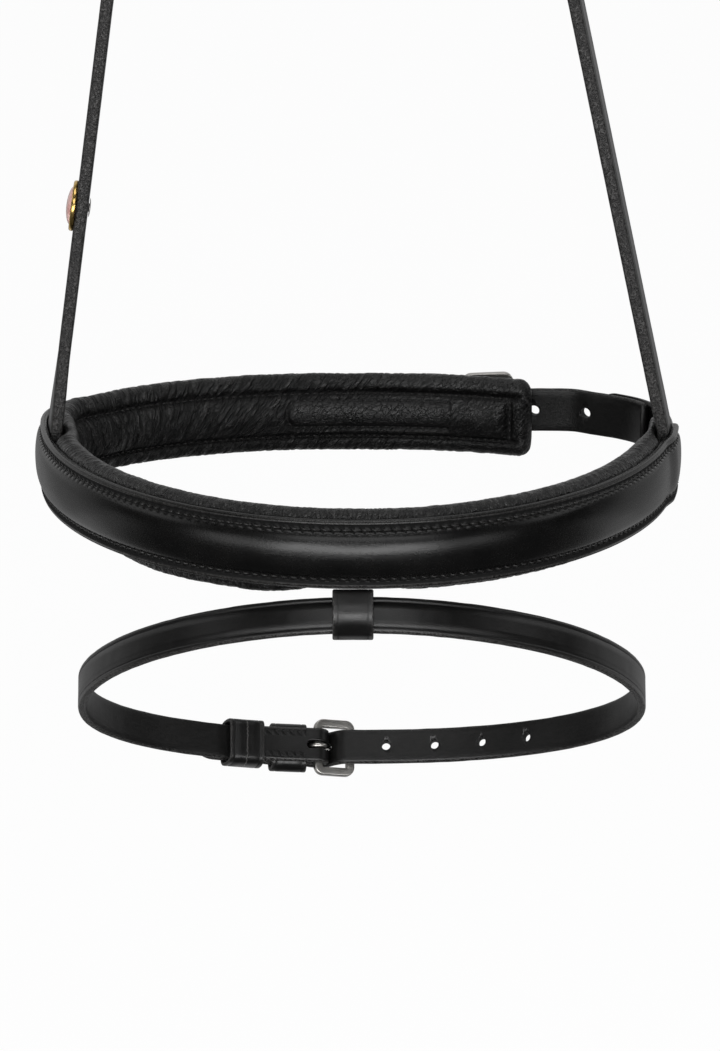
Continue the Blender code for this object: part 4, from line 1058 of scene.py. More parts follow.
class Fastening:
    """A buckle on a turned-back chape, with the billet through it and two keepers."""

    def __init__(self, prefix, course, bar_s, chape, billet, frame, bar, tongue_radius,
                 keeper_thick, levels, turn_back, tip, zones, bodies):
        self.prefix, self.course, self.bar_s = prefix, course, bar_s
        self.chape_thick, self.chape_width = chape
        self.billet_thick, self.billet_width = billet
        self.frame_length, self.frame_height = frame
        self.bar_width, self.bar_thick = bar
        self.tongue_radius, self.keeper_thick = tongue_radius, keeper_thick
        self.inner_level, self.root_level, self.exit_level = levels
        self.turn_back, self.tip = turn_back, tip
        self.fixed_zone, self.runner_zone = zones
        self.strap_body, self.slot = bodies
        inner_top = self.inner_level + self.chape_thick / 2
        self.bar_level = inner_top + BAR_GAP + self.bar_width / 2
        self.fold = self.bar_width / 2 + BAR_GAP + self.chape_thick / 2
        self.far_u = self.frame_length - self.bar_width
        under_bar = self.exit_level + self.billet_thick / 2 + RUNNING_GAP
        self.far_level = under_bar + BAR_GAP + self.bar_thick / 2
        self.tilt = math.asin((self.far_level - self.bar_level) / self.far_u)
        self.tucked = inner_top + 2 * LAYER_GAP + self.keeper_thick + self.chape_thick / 2
        self.sewn = inner_top + LAYER_GAP + self.chape_thick / 2
        self.ride = self.chape_thick / 2 + LAYER_GAP + self.billet_thick / 2

    def place(self, u, n, v):
        return self.course.place(self.bar_s - u, n, v)

    def across(self, middle_u):
        """Place for a keeper: its path is (v, n) and its width runs along the strap."""
        return lambda v, n, c: self.place(middle_u + c, n, v)

    def chape_path(self):
        """From the turned-back end, round the bar, down to where the chape leaves the buckle."""
        near, far = self.fixed_zone
        end = self.turn_back
        path = [(-end, self.inner_level), (-far, self.inner_level), (-near, self.inner_level)]
        path += arc(0.0, self.bar_level, self.fold, range(-90, 91, 30))
        path += [(-near, self.tucked), (-far, self.tucked), (-far - CHAPE_STEP, self.sewn)]
        path += [(-end - STEP_ROOM, self.sewn), (-end - ROOT_STEP, self.root_level)]
        return soften(path)

    def billet_path(self):
        """From the billet's tip, over the keepers' seats and the bar, to the far bar."""
        near, far = self.fixed_zone
        radius = self.fold + self.ride
        path = [(-self.tip, self.sewn + self.ride), (-far - CHAPE_STEP, self.sewn + self.ride)]
        path += [(-far, self.tucked + self.ride), (-near, self.tucked + self.ride)]
        path += arc(0.0, self.bar_level, radius, range(100, 14, -15))
        settle = (radius + self.far_u) / 2
        path += [(settle, self.exit_level), (self.far_u, self.exit_level)]
        return soften(path)

    def onward(self, start, stop, level):
        """Path along the course between two of its lengths, at the level that a rule gives."""
        runs = np.linspace(start, stop, max(2, int(abs(stop - start) / CORNER_STEP) + 1))[1:]
        return np.column_stack([self.bar_s - runs, level(runs)])

    def shank(self):
        start = self.bar_level + self.bar_width / 2 + BAR_GAP + self.tongue_radius
        end = self.far_level + self.bar_thick / 2 + BAR_GAP + LAYER_GAP + self.tongue_radius
        return start, (end - start) / (self.far_u * math.cos(self.tilt))

    def frame(self):
        """Cast frame: flat-faced bars, softly rounded edges and full round corners."""
        half = (self.frame_height - self.bar_width) / 2
        corner, soft = self.bar_width * 0.6, self.bar_thick * 0.17
        path, outline = [], []
        for u, v, start in ((0, -half, 180), (self.far_u, -half, 270), (self.far_u, half, 0),
                            (0, half, 90)):
            path += arc(u + math.copysign(corner, self.far_u / 2 - u),
                        v - math.copysign(corner, v), corner, range(start, start + 91, 10))
        for sign_a, sign_b, start in ((1, 1, 0), (-1, 1, 90), (-1, -1, 180), (1, -1, 270)):
            outline += arc(sign_a * (self.bar_width / 2 - soft),
                           sign_b * (self.bar_thick / 2 - soft), soft, range(start, start + 91, 15))
        cosine, sine = math.cos(self.tilt), math.sin(self.tilt)

        def place(a, v, h):
            return self.place(a * cosine - h * sine, self.bar_level + a * sine + h * cosine, v)

        path, lengths = resample(path, FRAME_STEP, closed=True)
        section = np.broadcast_to(np.array(outline), (len(path), len(outline), 2))
        points, lay = sweep(place, path, lengths, section, closed=True)
        made = shell(self.prefix + "_frame_cast", points, STEEL, wrap=True, lay=lay)
        dress(made, self.prefix + "_frame", "steel", self.prefix + "_buckle_frame")

    def tongue(self):
        """Wire that curls round the hinge bar and lies across the far bar, flattened at its tip."""
        curl = self.bar_width / 2 + BAR_GAP + self.tongue_radius
        start, slope = self.shank()
        path = arc(0.0, self.bar_level, curl, range(330, 90, -10))
        reach = self.far_u + self.bar_width
        path += [(u, start + slope * u) for u in np.linspace(0.0, reach, 12)]
        path, lengths = resample(path, WIRE_STEP)
        left = lengths[-1] - lengths
        size = self.tongue_radius * np.sqrt(np.clip(left / WIRE_TIP, 0.05, 1))
        size *= 1 - 0.12 * ease(1 - left / WIRE_FLAT)
        points, lay = sweep(self.place, path, lengths, round_section(size))
        made = shell(self.prefix + "_tongue_wire", points, STEEL, lay=lay)
        dress(made, self.prefix + "_tongue", "steel", self.prefix + "_buckle_tongue")

    def keeper(self, name, body, node, path, zone, closed, bulge):
        near, far = zone
        path = soften(round_corners(path, KEEPER_CORNER, closed), closed)
        path, _ = resample(path, FINE_STEP, closed)
        low, high = path.min(axis=0), path.max(axis=0)
        share = (path - (low + high) / 2) / ((high - low) / 2)
        bow = (1 - share[:, ::-1] ** 2) * np.sign(share) * ease((np.abs(share) - 0.5) / 0.4)
        bow = bow * [bulge, KEEPER_SIDE_BOW]
        bow[:, 1] = np.maximum(bow[:, 1], 0.0)
        made = ribbon(name, self.across(-(near + far) / 2), path + bow,
                      flat(self.keeper_thick), flat(far - near), crease=0.00012, step=FINE_STEP,
                      closed=closed, seed=len(name), outer=-1, seam=float(closed))
        dress(made, body, "strap_leather", node)

    def fixed_keeper(self):
        middle = self.inner_level + self.chape_thick / 2 + LAYER_GAP + self.keeper_thick / 2
        wide = max(self.chape_width, self.billet_width)
        half = wide / 2 + LAYER_GAP + self.keeper_thick / 2
        billet_top = self.tucked + self.ride + self.billet_thick / 2
        top = billet_top + RUNNING_GAP + self.keeper_thick / 2
        tuck = self.chape_width / 2 - KEEPER_TUCK
        path = [(tuck, middle), (half, middle), (half, top)]
        path += [(-half, top), (-half, middle), (-tuck, middle)]
        self.keeper(self.prefix + "_sewn_keeper", self.strap_body,
                    self.prefix + "_fixed_keeper", path, self.fixed_zone, closed=False,
                    bulge=0.0010)

    def runner_keeper(self, lowest):
        wide = max(self.chape_width, self.billet_width)
        half = wide / 2 + RUNNING_GAP + self.keeper_thick / 2
        top = self.sewn + self.ride + self.billet_thick / 2 + RUNNING_GAP + self.keeper_thick / 2
        bottom = lowest - RUNNING_GAP - self.keeper_thick / 2
        path = [(half, bottom), (half, top), (-half, top), (-half, bottom)]
        self.keeper(self.prefix + "_sliding_keeper", self.prefix + "_runner",
                    self.prefix + "_runner_keeper", path, self.runner_zone, closed=True,
                    bulge=0.0004)

    def cut_slot(self, strap):
        curl = self.bar_width / 2 + BAR_GAP + 2 * self.tongue_radius + HOLE_GAP
        reach = self.fold + self.chape_thick
        outline = oval((reach - curl) / 2, reach + curl, 2 * (self.tongue_radius + HOLE_GAP))
        levels = (self.inner_level - self.chape_thick, self.bar_level + reach)
        cut(strap, cutter(self.place, [outline], levels))

    def cut_holes(self, strap, first, pitch, count, place=None):
        start, slope = self.shank()
        reach = (-self.tongue_radius, self.fold + self.ride + self.billet_thick)
        size = 2 * (self.tongue_radius + HOLE_GAP)
        path = np.array([(u, start + slope * u) for u in reach])
        section = round_section([size / 2 + TUNNEL_ROOM] * 2)
        points, _ = sweep(self.place, path, np.array(reach), section)
        cut(strap, shell("tongue_hole_cutter", points, STRAP))
        outlines = [oval(first + pitch * i, size, size) for i in range(count)]
        levels = (self.exit_level - HOLE_REACH, self.exit_level + HOLE_REACH)
        cut(strap, cutter(place or self.place, outlines, levels))

    def pieces(self, lowest):
        self.frame()
        self.tongue()
        self.fixed_keeper()
        self.runner_keeper(lowest)


def round_corners(path, radius, closed):
    rounded = []
    last = len(path) - 1
    for i, corner in enumerate(path):
        if i in (0, last) and not closed:
            rounded.append(corner)
            continue
        here = np.array(corner)
        ends = []
        for other in (path[i - 1], path[(i + 1) % len(path)]):
            away = np.array(other) - here
            ends.append(here + away * (radius / np.linalg.norm(away)))
        rounded += [tuple(ends[0]), tuple((ends[0] + 2 * here + ends[1]) / 4), tuple(ends[1])]
    return rounded


FLASH_BUCKLE = Fastening(
    "flash", FLASH, first_length_where(
        FLASH, -FLASH_PLAN[0], FLASH_BUCKLE_OFFSET, QUARTER, 3 * QUARTER),
    chape=(FLASH_CHAPE_THICK, FLASH_WIDTH), billet=(FLASH_THICK, FLASH_WIDTH),
    frame=(0.0150, 0.0210), bar=(0.0030, 0.0026), tongue_radius=0.0010, keeper_thick=0.0013,
    levels=(-FLASH_THICK / 2 - 0.0006, 0.0, 0.0), turn_back=0.028, tip=0.046,
    zones=((0.0042, 0.0172), (0.0210, 0.0346)), bodies=("flash", "strap_leather"))
CHIN = Fastening(
    "chin", NOSE, nose_rear(CHIN_BUCKLE_PAST_MIDDLE),
    chape=(CHIN_CHAPE_THICK, CHIN_CHAPE_WIDTH), billet=(CHIN_BILLET_THICK, CHIN_BILLET_WIDTH),
    frame=(0.0185, 0.0254), bar=(0.0030, 0.0026), tongue_radius=0.0013, keeper_thick=0.0013,
    levels=(-LAYER_GAP - CHIN_CHAPE_THICK / 2, -LAYER_GAP - CHIN_CHAPE_THICK / 2, 0.0044),
    turn_back=0.035, tip=0.052, zones=((0.0078, 0.0172), (0.0350, 0.0440)),
    bodies=("headpiece", "smooth_leather"))
HEAD_BUCKLE = Fastening(
    "head", HEAD, head_at_height(HEAD_BUCKLE_HEIGHT, left=False),
    chape=(HEAD_CHAPE_THICK, HEAD_STRAP_WIDTH), billet=(HEAD_BILLET_THICK, HEAD_BILLET_WIDTH),
    frame=(0.0160, 0.0225), bar=(0.0030, 0.0026), tongue_radius=0.0012, keeper_thick=0.0013,
    levels=(-HEAD_STRAP_THICK / 2 + HEAD_CHAPE_THICK / 2 - LAYER_GAP, 0.0, 0.0),
    turn_back=0.030, tip=0.052, zones=((0.0070, 0.0170), (0.0240, 0.0340)),
    bodies=("headpiece", "strap_leather"))


# Noseband


def right_bulge(s):
    """How far the noseband stands out from its plan, round the right strap and behind it."""
    flare = STRAP_FLARE * plateau(s - STRAP_S, HEAD_STRAP_WIDTH / 2, PAD_CURL)
    behind = ease((s - WIDEST_S) / CHIN_BULGE_RUN)
    fall = ease((CHIN.bar_s - CHIN.frame_length - s) / CHIN_BULGE_END)
    return (flare + CHIN_BULGE * behind) * fall


def on_nose(s, n, v):
    s, n, v = np.broadcast_arrays(np.asarray(s, float), n, v)
    return NOSE.place(s, n + np.where(s > 0, right_bulge(s), 0.0), v)


RUNNER_S = CHIN.bar_s + sum(CHIN.runner_zone) / 2 - NOSE.length
RUNNER_HALF = (CHIN.runner_zone[1] - CHIN.runner_zone[0]) / 2 + CHIN_RUNNER_TRAVEL + LAYER_GAP
LOOP_ROOM = LOOP_WIDTH / 2 + 0.002
BAND_STOP = STRAP_S + BAND_PAST_STRAP
SEWN_STOP = STRAP_S + HEAD_STRAP_WIDTH / 2
PAD_START_S = nose_rear(PAD_END_PAST_MIDDLE) - NOSE.length
PAD_STOP_S = STRAP_S + PAD_PAST_STRAP
TONGUE_OPEN_S, TONGUE_TIP_S = (nose_rear(x) - NOSE.length for x in TONGUE_REACH)


def band_shape(s):
    """Half height, half width and rise of the crown, and height of the hollow under it."""
    past_right = ease((s - STRAP_S - HEAD_STRAP_WIDTH / 2) / BAND_RIGHT_TAPER)
    full = np.where(s > 0, 1 - past_right, ease((BAND_STOP + s) / BAND_TAPER))
    low = np.where(s > 0, BAND_RIGHT_END_HEIGHT, BAND_END_HEIGHT)
    half = (low + (BAND_HEIGHT - low) * full) / 2
    side_rise = np.where(s > 0, CROWN_RIGHT_RISE, CROWN_LEFT_RISE)
    rise = (CROWN_RISE + (side_rise - CROWN_RISE) * ease(np.abs(s) / STRAP_S)) * full
    crown = np.minimum(CROWN_WIDTH / 2, half - CROWN_BORDER)
    return half, crown, rise, (rise + BAND_THICK - CROWN_WALL) * full


def outline_rows(profile, s):
    """Arrays of n and v from a profile of (n, v) points, with a row for each station."""
    return (np.stack([np.broadcast_to(point[k], s.shape) for point in profile], axis=1)
            for k in range(2))


def nose_band():
    """Outer leather: a beaded border, sewn rows sunk beside it, and a raised crown."""
    s = np.linspace(-BAND_STOP, BAND_STOP, BAND_STATIONS)
    half, crown, rise, hollow = band_shape(s)
    to_end = BAND_STOP - np.abs(s)
    tip = np.sqrt(np.clip(1 - (1 - np.clip(to_end / BAND_TIP, 0, 1)) ** 2, 0.25, 1))
    half, crown = half * tip, crown * tip
    high, low = (np.maximum(crown, half - spread * tip) for spread in CROWN_SPREAD)
    swell = np.cos(2 * math.pi * s / STITCH_PITCH)
    sides = {}
    for sign, edge, spread in ((1, high, CROWN_SPREAD[0]), (-1, low, CROWN_SPREAD[1])):
        reach = (half - edge) / CROWN_SPREAD[0]
        points = []
        for distance, lift in BORDER_OUTLINE:
            level = BAND_THICK + lift * MM + 0.04 * MM * swell * (distance > 2.4)
            points.append((level, sign * (half - distance * MM * reach)))
        sides[sign] = points
    arch = []
    for turn in np.linspace(0.0, math.pi, 33)[1:-1]:
        ripple = CROWN_RIPPLE * wander(s / CROWN_RIPPLE_SIZE, turn * 1.3, 5) * math.sin(turn)
        bulge = rise * math.sin(turn) ** 0.9
        across = (high - low) / 2 + (high + low) / 2 * math.cos(turn)
        arch.append((BAND_THICK + bulge + ripple, across))
    inner = [(hollow * math.sin(turn), (crown - CROWN_WALL * tip) * math.cos(turn))
             for turn in np.linspace(math.pi, 0.0, 9)]
    profile = sides[1] + arch + sides[-1][::-1] + [(0 * s, -half)] + inner + [(0 * s, half)]
    n, v = outline_rows(profile, s)
    points = on_nose(s[:, None], n, v)
    lay = np.stack([np.broadcast_to(s[:, None], v.shape), v, n], axis=-1)
    outer = n > BAND_THICK * 0.4
    inset = (half[:, None] - np.abs(v)) / ((half - high) / CROWN_SPREAD[0])[:, None]
    sewn = outer & (s < SEWN_STOP)[:, None]
    row_inset = np.where(v > 0, *STITCH_INSET)
    beside = np.where(sewn, half[:, None] - np.abs(v) - row_inset, NO_ROW)
    # Painted shade: the groove of the sunk row beside each border is darkened
    pit = 0.9 * in_zone(inset, ROW_ZONE) * outer
    # Wear and painted highlight on the bead and border ridge, stronger on the lower border as
    # painted highlight
    bead = 0.5 * in_zone(inset, BEAD_ZONE)
    rub = (0.7 * in_zone(inset, BORDER_ZONE) + bead) * np.where(v < 0, 1.4, 1.0)
    made = shell("nose_band_leather", points, BRIDLE, lay=lay, pit=pit, rub=rub * outer,
                 beside=beside)
    dress(made, "headpiece", "smooth_leather", "nose_band")
    first = math.ceil((BAND_FIRST_STITCH - BAND_STOP) / STITCH_PITCH) * STITCH_PITCH
    for side, name, inset in ((1, "upper", STITCH_INSET[0]), (-1, "lower", STITCH_INSET[1])):
        run = np.arange(first, SEWN_STOP, STITCH_PITCH / 4)
        run = run - side * (BAND_HEIGHT / 2 - inset) * STITCH_SLANT
        wide = band_shape(run)[0]
        row = np.column_stack([run, BAND_THICK + 0 * run, side * (wide - inset - 0.0001)])
        stitches(f"nose_band_{name}_stitches", on_nose, row, "smooth_leather", STITCH_PITCH,
                 radius=0.00028, slant=-0.3, sink=0.0004, gap=0.34)


def pad_faces(s):
    """Depth of the pad's outer and inner faces inside the nose band."""
    away = from_front(s)
    strap = plateau(away - STRAP_S, HEAD_STRAP_WIDTH / 2 + LAYER_GAP, PAD_CURL)
    behind = STRAP_S + CHIN_ROOT_PAST_STRAP
    chape = ease((away - behind + PAD_CURL) / (PAD_CURL - LAYER_GAP))
    chape_room = CHIN_CHAPE_THICK + RUNNING_GAP
    runner = plateau(s - RUNNER_S, RUNNER_HALF, PAD_CURL)
    outer = LAYER_GAP + np.maximum((HEAD_STRAP_THICK + RUNNING_GAP) * strap, chape_room * chape)
    outer = outer + (CHIN.keeper_thick + RUNNING_GAP) * runner
    inner = LAYER_GAP + PAD_THICK + chape_room * chape
    near_strap = STRAP_S - HEAD_STRAP_WIDTH / 2 - PAD_SQUEEZE_RUN
    squeeze = PAD_RIGHT_SQUEEZE * ease((s - near_strap) / PAD_SQUEEZE_RUN)
    return outer, inner + np.where(s < 0, PAD_LEFT_BULGE * strap, -squeeze)


def lining_shape(s, v):
    """Rise of the lining's inner face, distance to its sewn rows and to the tongue's outline."""
    upper, lower = LINING_ROWS
    near = np.minimum(np.abs(v - upper), np.abs(v - lower))
    end_row = np.abs(s - PAD_START_S - LINING_END_ROW)
    near = np.where((v < upper) & (v > lower), np.minimum(near, end_row), near)
    high, low = TONGUE_ROWS
    radius, level = (high - low) / 2, (high + low) / 2
    past = np.maximum(0.0, s - TONGUE_TIP_S + radius)
    opened = TONGUE_OPEN_AWAY * ease((TONGUE_OPEN_S - s) / TONGUE_OPEN_FADE)
    tongue = np.hypot(past, v - level) - radius + opened
    along = ease((s - PAD_START_S - LINING_END_ROW) / END_ROW_FADE)
    share = (v - (upper + lower) / 2) / ((upper - lower) / 2)
    rise = PAD_PUFF * np.clip(1 - share ** 2, 0, 1) * along
    rise = rise - ROW_SINK * plateau(near, 0.0, ROW_SINK_WIDTH)
    rise = rise - TONGUE_SINK * plateau(np.abs(tongue), 0.0, TONGUE_SINK_WIDTH)
    return rise, near, tongue


def pad_outline(s):
    """The pad's outlines with a roll along each edge and a puffed centre between them.

    Gives their n and v, the height of the core that they stand round, the depth and half
    thickness of the pad, and where its face is sewn.
    """
    to_end = np.minimum(s - PAD_START_S, PAD_STOP_S - s)
    outer, inner = pad_faces(s)
    middle, half = -(outer + inner) / 2, (inner - outer) / 2
    half = half * np.maximum(0.22, np.sqrt(1 - np.clip(1 - to_end / half, 0, 1) ** 2))
    corner = np.maximum(0.0, PAD_CORNER - to_end)
    shrink = PAD_CORNER - np.sqrt(PAD_CORNER ** 2 - corner ** 2)
    dent = PAD_DENT * plateau(s - LOOP_SIDE_OFFSET, LOOP_ROOM, PAD_CURL)
    sag = ease((-SAG_NEAR - s) / SAG_NEAR_FADE) * ease((s + SAG_FAR) / SAG_FAR_FADE)
    dent = dent - PAD_SAG * sag
    top, bottom = PAD_HEIGHT / 2 - shrink - ROLL, dent + shrink - PAD_HEIGHT / 2 + ROLL
    sewn = ease((to_end - PAD_CORNER / 2) / PAD_CORNER)

    def roll(base, sign, start):
        turns = np.linspace(start, start + math.pi, 15)
        return [(middle + half * math.cos(turn), base + sign * ROLL * abs(math.sin(turn)) ** 0.8)
                for turn in turns]

    profile = [(middle + half, top * share) for share in (0.15, 0.55, 0.95)]
    profile += roll(top, 1, 0)
    for share in np.linspace(1, -1, 41):
        v = np.where(share > 0, top * share, -bottom * share)
        profile.append((middle - half - np.maximum(lining_shape(s, v)[0] * sewn, -half), v))
    profile += roll(bottom, -1, math.pi)
    profile += [(middle + half, bottom * share) for share in (0.95, 0.55, 0.15)]
    n, v = outline_rows(profile, s)
    core = np.clip(v, bottom[:, None], top[:, None])
    return n, v, core, middle[:, None], half[:, None], sewn[:, None]


def lining_folds(along, n, v, inside):
    """Depth of the folds in mm, where they gather and lean, and how near a sewn row is.

    inside is 1 on the face that lies on the nose and 0 on the rolls.
    """
    near, tongue = lining_shape(along, v)[1:]
    near = np.minimum(near, np.abs(tongue))
    taut = 1 - ease((TAUT_EDGE - tongue) / TAUT_FADE) * inside
    by_tip = plateau(tongue, TIP_FOLDS_EDGE, TIP_FOLDS_FADE)
    by_tip = by_tip * ease((along - TONGUE_TIP_S + TIP_FOLDS_RUN) / TIP_FOLDS_RUN)
    left = plateau(along - GATHER_MIDDLE, GATHER_HALF, GATHER_FADE)
    left = np.clip(left + 0.7 * by_tip, 0, 1) * taut
    lean = 0.9 * ease((LEAN_FROM - along) / LEAN_FADE)
    lean = np.where((v < LINING_ROWS[1]) & (along < LOWER_LEAN_FROM), 0.8, lean)
    drift = along + lean * v
    pull = wander(along / PULL_SIZE[0], v / PULL_SIZE[1], 3)

    def ridges(run, across, size, sway, seed):
        """Sharp ridges of one size, which sway along and across with the pull."""
        x, y = (place / length + share * pull
                for place, length, share in zip((run, across), size, sway))
        return 1 - np.abs(wander(x, y, seed))

    crease = ridges(drift, v, CREASE_SIZE, (0.9, 0.3), 11)
    tight = ridges(drift, v, TIGHT_SIZE, (0.7, 0.0), 23)
    cracks = ridges(along, v, CRACK_SIZE, (0.8, -0.8), 31)
    on_roll = ridges(drift, v + n, ROLL_FOLD_SIZE, (0.5, 0.0), 43)
    depth = left * (0.55 * crease ** 3 + 0.20 * tight ** 3)
    depth = depth + (1 - left) * taut * (0.12 * cracks ** 4 + 0.08 * tight ** 3)
    depth = inside * depth * (0.35 + 0.65 * np.minimum(1, near / FOLDS_NEAR_ROW))
    depth = depth + (1 - inside) * 0.26 * on_roll ** 2.5
    depth = depth + 0.12 * wander(along / SWELL_SIZE[0], v / SWELL_SIZE[1], 51) * taut
    gather = (1 - inside) * 0.8 + inside * (0.15 * taut + 0.85 * left)
    return depth, np.clip(gather, 0, 1), lean, near


def pad_lining():
    """Soft lining: a roll along each edge, sewn rows, and a centre that puffs between them."""
    s = np.linspace(PAD_START_S, PAD_STOP_S, PAD_STATIONS)
    n, v, core, middle, half, sewn = pad_outline(s)
    along = np.broadcast_to(s[:, None], v.shape)
    inside = ease((middle - n) / (half * 0.9))
    depth, gather, lean, near = lining_folds(along, n, v, inside)
    depth = np.where(n > middle + half * 0.75, 0, depth) * np.minimum(1, half / FULL_FOLD_HALF)
    dn, dv = n - middle, v - core
    share = depth * MM / (np.hypot(dn, dv) + 1e-9)
    n, v = n - share * dn, v - share * dv
    # Painted shade: the fold mask darkens deep folds and the sunk sewn rows
    seam = 0.8 * plateau(near, *SEAM_ZONE) * (inside > 0.6) * sewn
    fold = np.clip(np.clip(depth * 1.2 - 0.2, 0, 0.6) + seam, 0, 1)
    lay = np.stack([along, v, n], axis=-1)
    made = shell("lining_pad", on_nose(along, n, v), LINING, lay=lay, gather=gather, lean=lean,
                 fold=fold)
    dress(made, "headpiece", "lining_leather", "lining_cover", "foam_pad")


def on_lining(s, n, v):
    """Place on the lining's inner face, in its sewn rows."""
    s = np.asarray(s, float)
    inner = pad_faces(s)[1]
    return on_nose(s, -inner - lining_shape(s, v)[0] - n, v)


def lining_stitches():
    """Rows along both rolls, across the pad's end, and round the tongue-shaped patch."""
    upper, lower = LINING_ROWS
    first = PAD_START_S + LINING_END_ROW
    run = np.arange(first, STRAP_S - LINING_ROW_STOP, STITCH_PITCH / 2)
    high, low = TONGUE_ROWS
    radius, level = (high - low) / 2, (high + low) / 2
    bend = TONGUE_TIP_S - radius
    tongue = [(a, high) for a in np.arange(TONGUE_OPEN_S, bend, MM)]
    tongue += arc(bend, level, radius, range(90, -91, -15))
    tongue += [(a, low) for a in np.arange(bend, TONGUE_OPEN_S, -MM)]
    rows = {
        "upper": [(a, upper) for a in run],
        "lower": [(a, lower) for a in run],
        "end": [(first, a) for a in np.linspace(upper, lower, 9)],
        "tongue": tongue,
    }
    for name, path in rows.items():
        row = [(a, 0.0, v) for a, v in path]
        stitches(f"lining_{name}_stitches", on_lining, row, "lining_leather", ROW_PITCH,
                 radius=0.00026, slant=0.1, sink=0.0005, gap=0.22)


# Straps


def flat(value):
    """A thickness, width or level that is the same all along."""
    return lambda u: value + 0 * u


def skived(thin, thick, start, run):
    """A thickness that grows from thin to thick over a run of the strap."""
    return lambda u: thin + (thick - thin) * ease((-u - start) / run)


def chin_straps():
    """Chape of the chin buckle from the left side, and the billet from the right that it takes."""
    path = CHIN.chape_path()
    root_s = NOSE.length - STRAP_S - CHIN_ROOT_PAST_STRAP
    path = np.vstack([path, CHIN.onward(CHIN.bar_s - path[-1][0], root_s, flat(CHIN.root_level))])
    chape = ribbon("chin_chape_leather", CHIN.place, path, flat(CHIN_CHAPE_THICK),
                   flat(CHIN_CHAPE_WIDTH), crease=0.00016, start=0.004, seed=3, outer=-1,
                   creased=(0.05, FAR), rows=(0.004, 0.028))
    CHIN.cut_slot(chape)
    dress(chape, "headpiece", "smooth_leather", "chin_chape")

    sewn = -LAYER_GAP - CHIN_BILLET_THICK / 2
    near = CHIN.bar_s - CHIN.far_u
    leave = STRAP_S + BAND_PAST_STRAP

    def level(s):
        return sewn + (CHIN.exit_level - sewn) * ease((s - leave) / (near - leave)) + right_bulge(s)

    onward = CHIN.onward(near, STRAP_S + CHIN_ROOT_PAST_STRAP, level)
    path = np.vstack([CHIN.billet_path(), onward])
    billet = ribbon("chin_billet_leather", CHIN.place, path, flat(CHIN_BILLET_THICK),
                    flat(CHIN_BILLET_WIDTH), crease=0.0002, start=0.009, seed=4)

    def on_billet(u, n, v):
        return CHIN.place(u, n + level(CHIN.bar_s - u) - CHIN.exit_level, v)

    CHIN.cut_holes(billet, CHIN_FIRST_HOLE, CHIN_HOLE_PITCH, 2, on_billet)
    dress(billet, "headpiece", "strap_leather", "chin_billet")


def flash_strap():
    """One strap: chape round its buckle, all round the muzzle, and the billet through it."""
    buckle = FLASH_BUCKLE
    path = buckle.chape_path()
    start = buckle.bar_s - path[-1][0]
    stop = buckle.bar_s + FLASH.length - buckle.far_u
    path = np.vstack([path, buckle.onward(start, stop, flat(buckle.root_level))[:-1],
                      buckle.billet_path()[::-1] - [FLASH.length, 0]])
    thick = skived(FLASH_CHAPE_THICK, FLASH_THICK, buckle.turn_back + STEP_ROOM, ROOT_STEP)
    strap = ribbon("flash_strap_leather", buckle.place, path, thick, flat(FLASH_WIDTH),
                   crease=0.00024, start=0.0025, stop=0.008, seed=5, outer=-1,
                   creased=(0.042, FAR), rows=(0.003, 0.024))
    buckle.cut_slot(strap)
    buckle.cut_holes(strap, FLASH_FIRST_HOLE, FLASH_HOLE_PITCH, 4)
    dress(strap, "flash", "strap_leather", "flash_strap")


def cheek_straps():
    """Short right cheek with the buckle, and the long strap over the poll that it takes."""
    buckle = HEAD_BUCKLE
    path = buckle.chape_path()
    start = buckle.bar_s - path[-1][0]
    path = np.vstack([path, buckle.onward(start, HEAD.length, flat(buckle.root_level))])
    thick = skived(HEAD_CHAPE_THICK, HEAD_STRAP_THICK, buckle.turn_back + STEP_ROOM, ROOT_STEP)
    near = ribbon("near_cheek_leather", buckle.place, path, thick, flat(HEAD_STRAP_WIDTH),
                  crease=0.0002, start=0.003, seed=6, outer=-1, creased=(0.045, FAR),
                  rows=(0.003, 0.026))
    buckle.cut_slot(near)
    dress(near, "headpiece", "strap_leather", "near_cheek_strap")

    onward = buckle.onward(buckle.bar_s - buckle.far_u, 0.0, flat(buckle.exit_level))
    path = np.vstack([buckle.billet_path(), onward])
    start = buckle.far_u + STRAP_TAPER / 2

    def grown(thin, thick):
        return lambda u: thin + (thick - thin) * ease((u - start) / STRAP_TAPER)

    head = ribbon("head_strap_leather", buckle.place, path,
                  grown(HEAD_BILLET_THICK, HEAD_STRAP_THICK),
                  grown(HEAD_BILLET_WIDTH, HEAD_STRAP_WIDTH), crease=0.0002, start=0.009, seed=7)
    buckle.cut_holes(head, HEAD_FIRST_HOLE, HEAD_HOLE_PITCH, 4)
    hole = oval(0.0, RIVET_HOLE, RIVET_HOLE, steps=16)
    cut(head, cutter(by_badge, [hole], (-RIVET_HOLE_REACH, RIVET_HOLE_REACH)))
    dress(head, "headpiece", "strap_leather", "head_strap")


def flash_loop():
    """Leather loop that hangs from the lower edge of the nose band and carries the flash strap."""
    corners = [LOOP_HANGER, *LOOP_FRONT, LOOP_INNER_LOW, LOOP_INNER_HIGH]
    path = soften(round_corners(corners, LOOP_CORNER, closed=True), closed=True)
    base = FLASH.place(LOOP_SIDE_OFFSET - FLASH_SIDE_OFFSET, 0.0, 0.0)
    origin = FLASH.place(0.0, 0.0, 0.0)

    def place(n, v, c):
        n, v, c = np.broadcast_arrays(n, v, c)
        return base + FLASH.place(0 * n, n, v) - origin + np.stack([c, 0 * c, 0 * c], axis=-1)

    loop = ribbon("flash_loop_leather", place, path, flat(LOOP_THICK), flat(LOOP_WIDTH),
                  crease=0.00005, step=FINE_STEP, closed=True, seed=8, rough=0.00004)
    dress(loop, "loop", "strap_leather", "flash_loop")


# Badge


def by_badge(a, n, v):
    """Place beside the middle of the badge, on the left cheek."""
    return HEAD.place(head_at_height(BADGE_HEIGHT, left=True) + a, n, v)


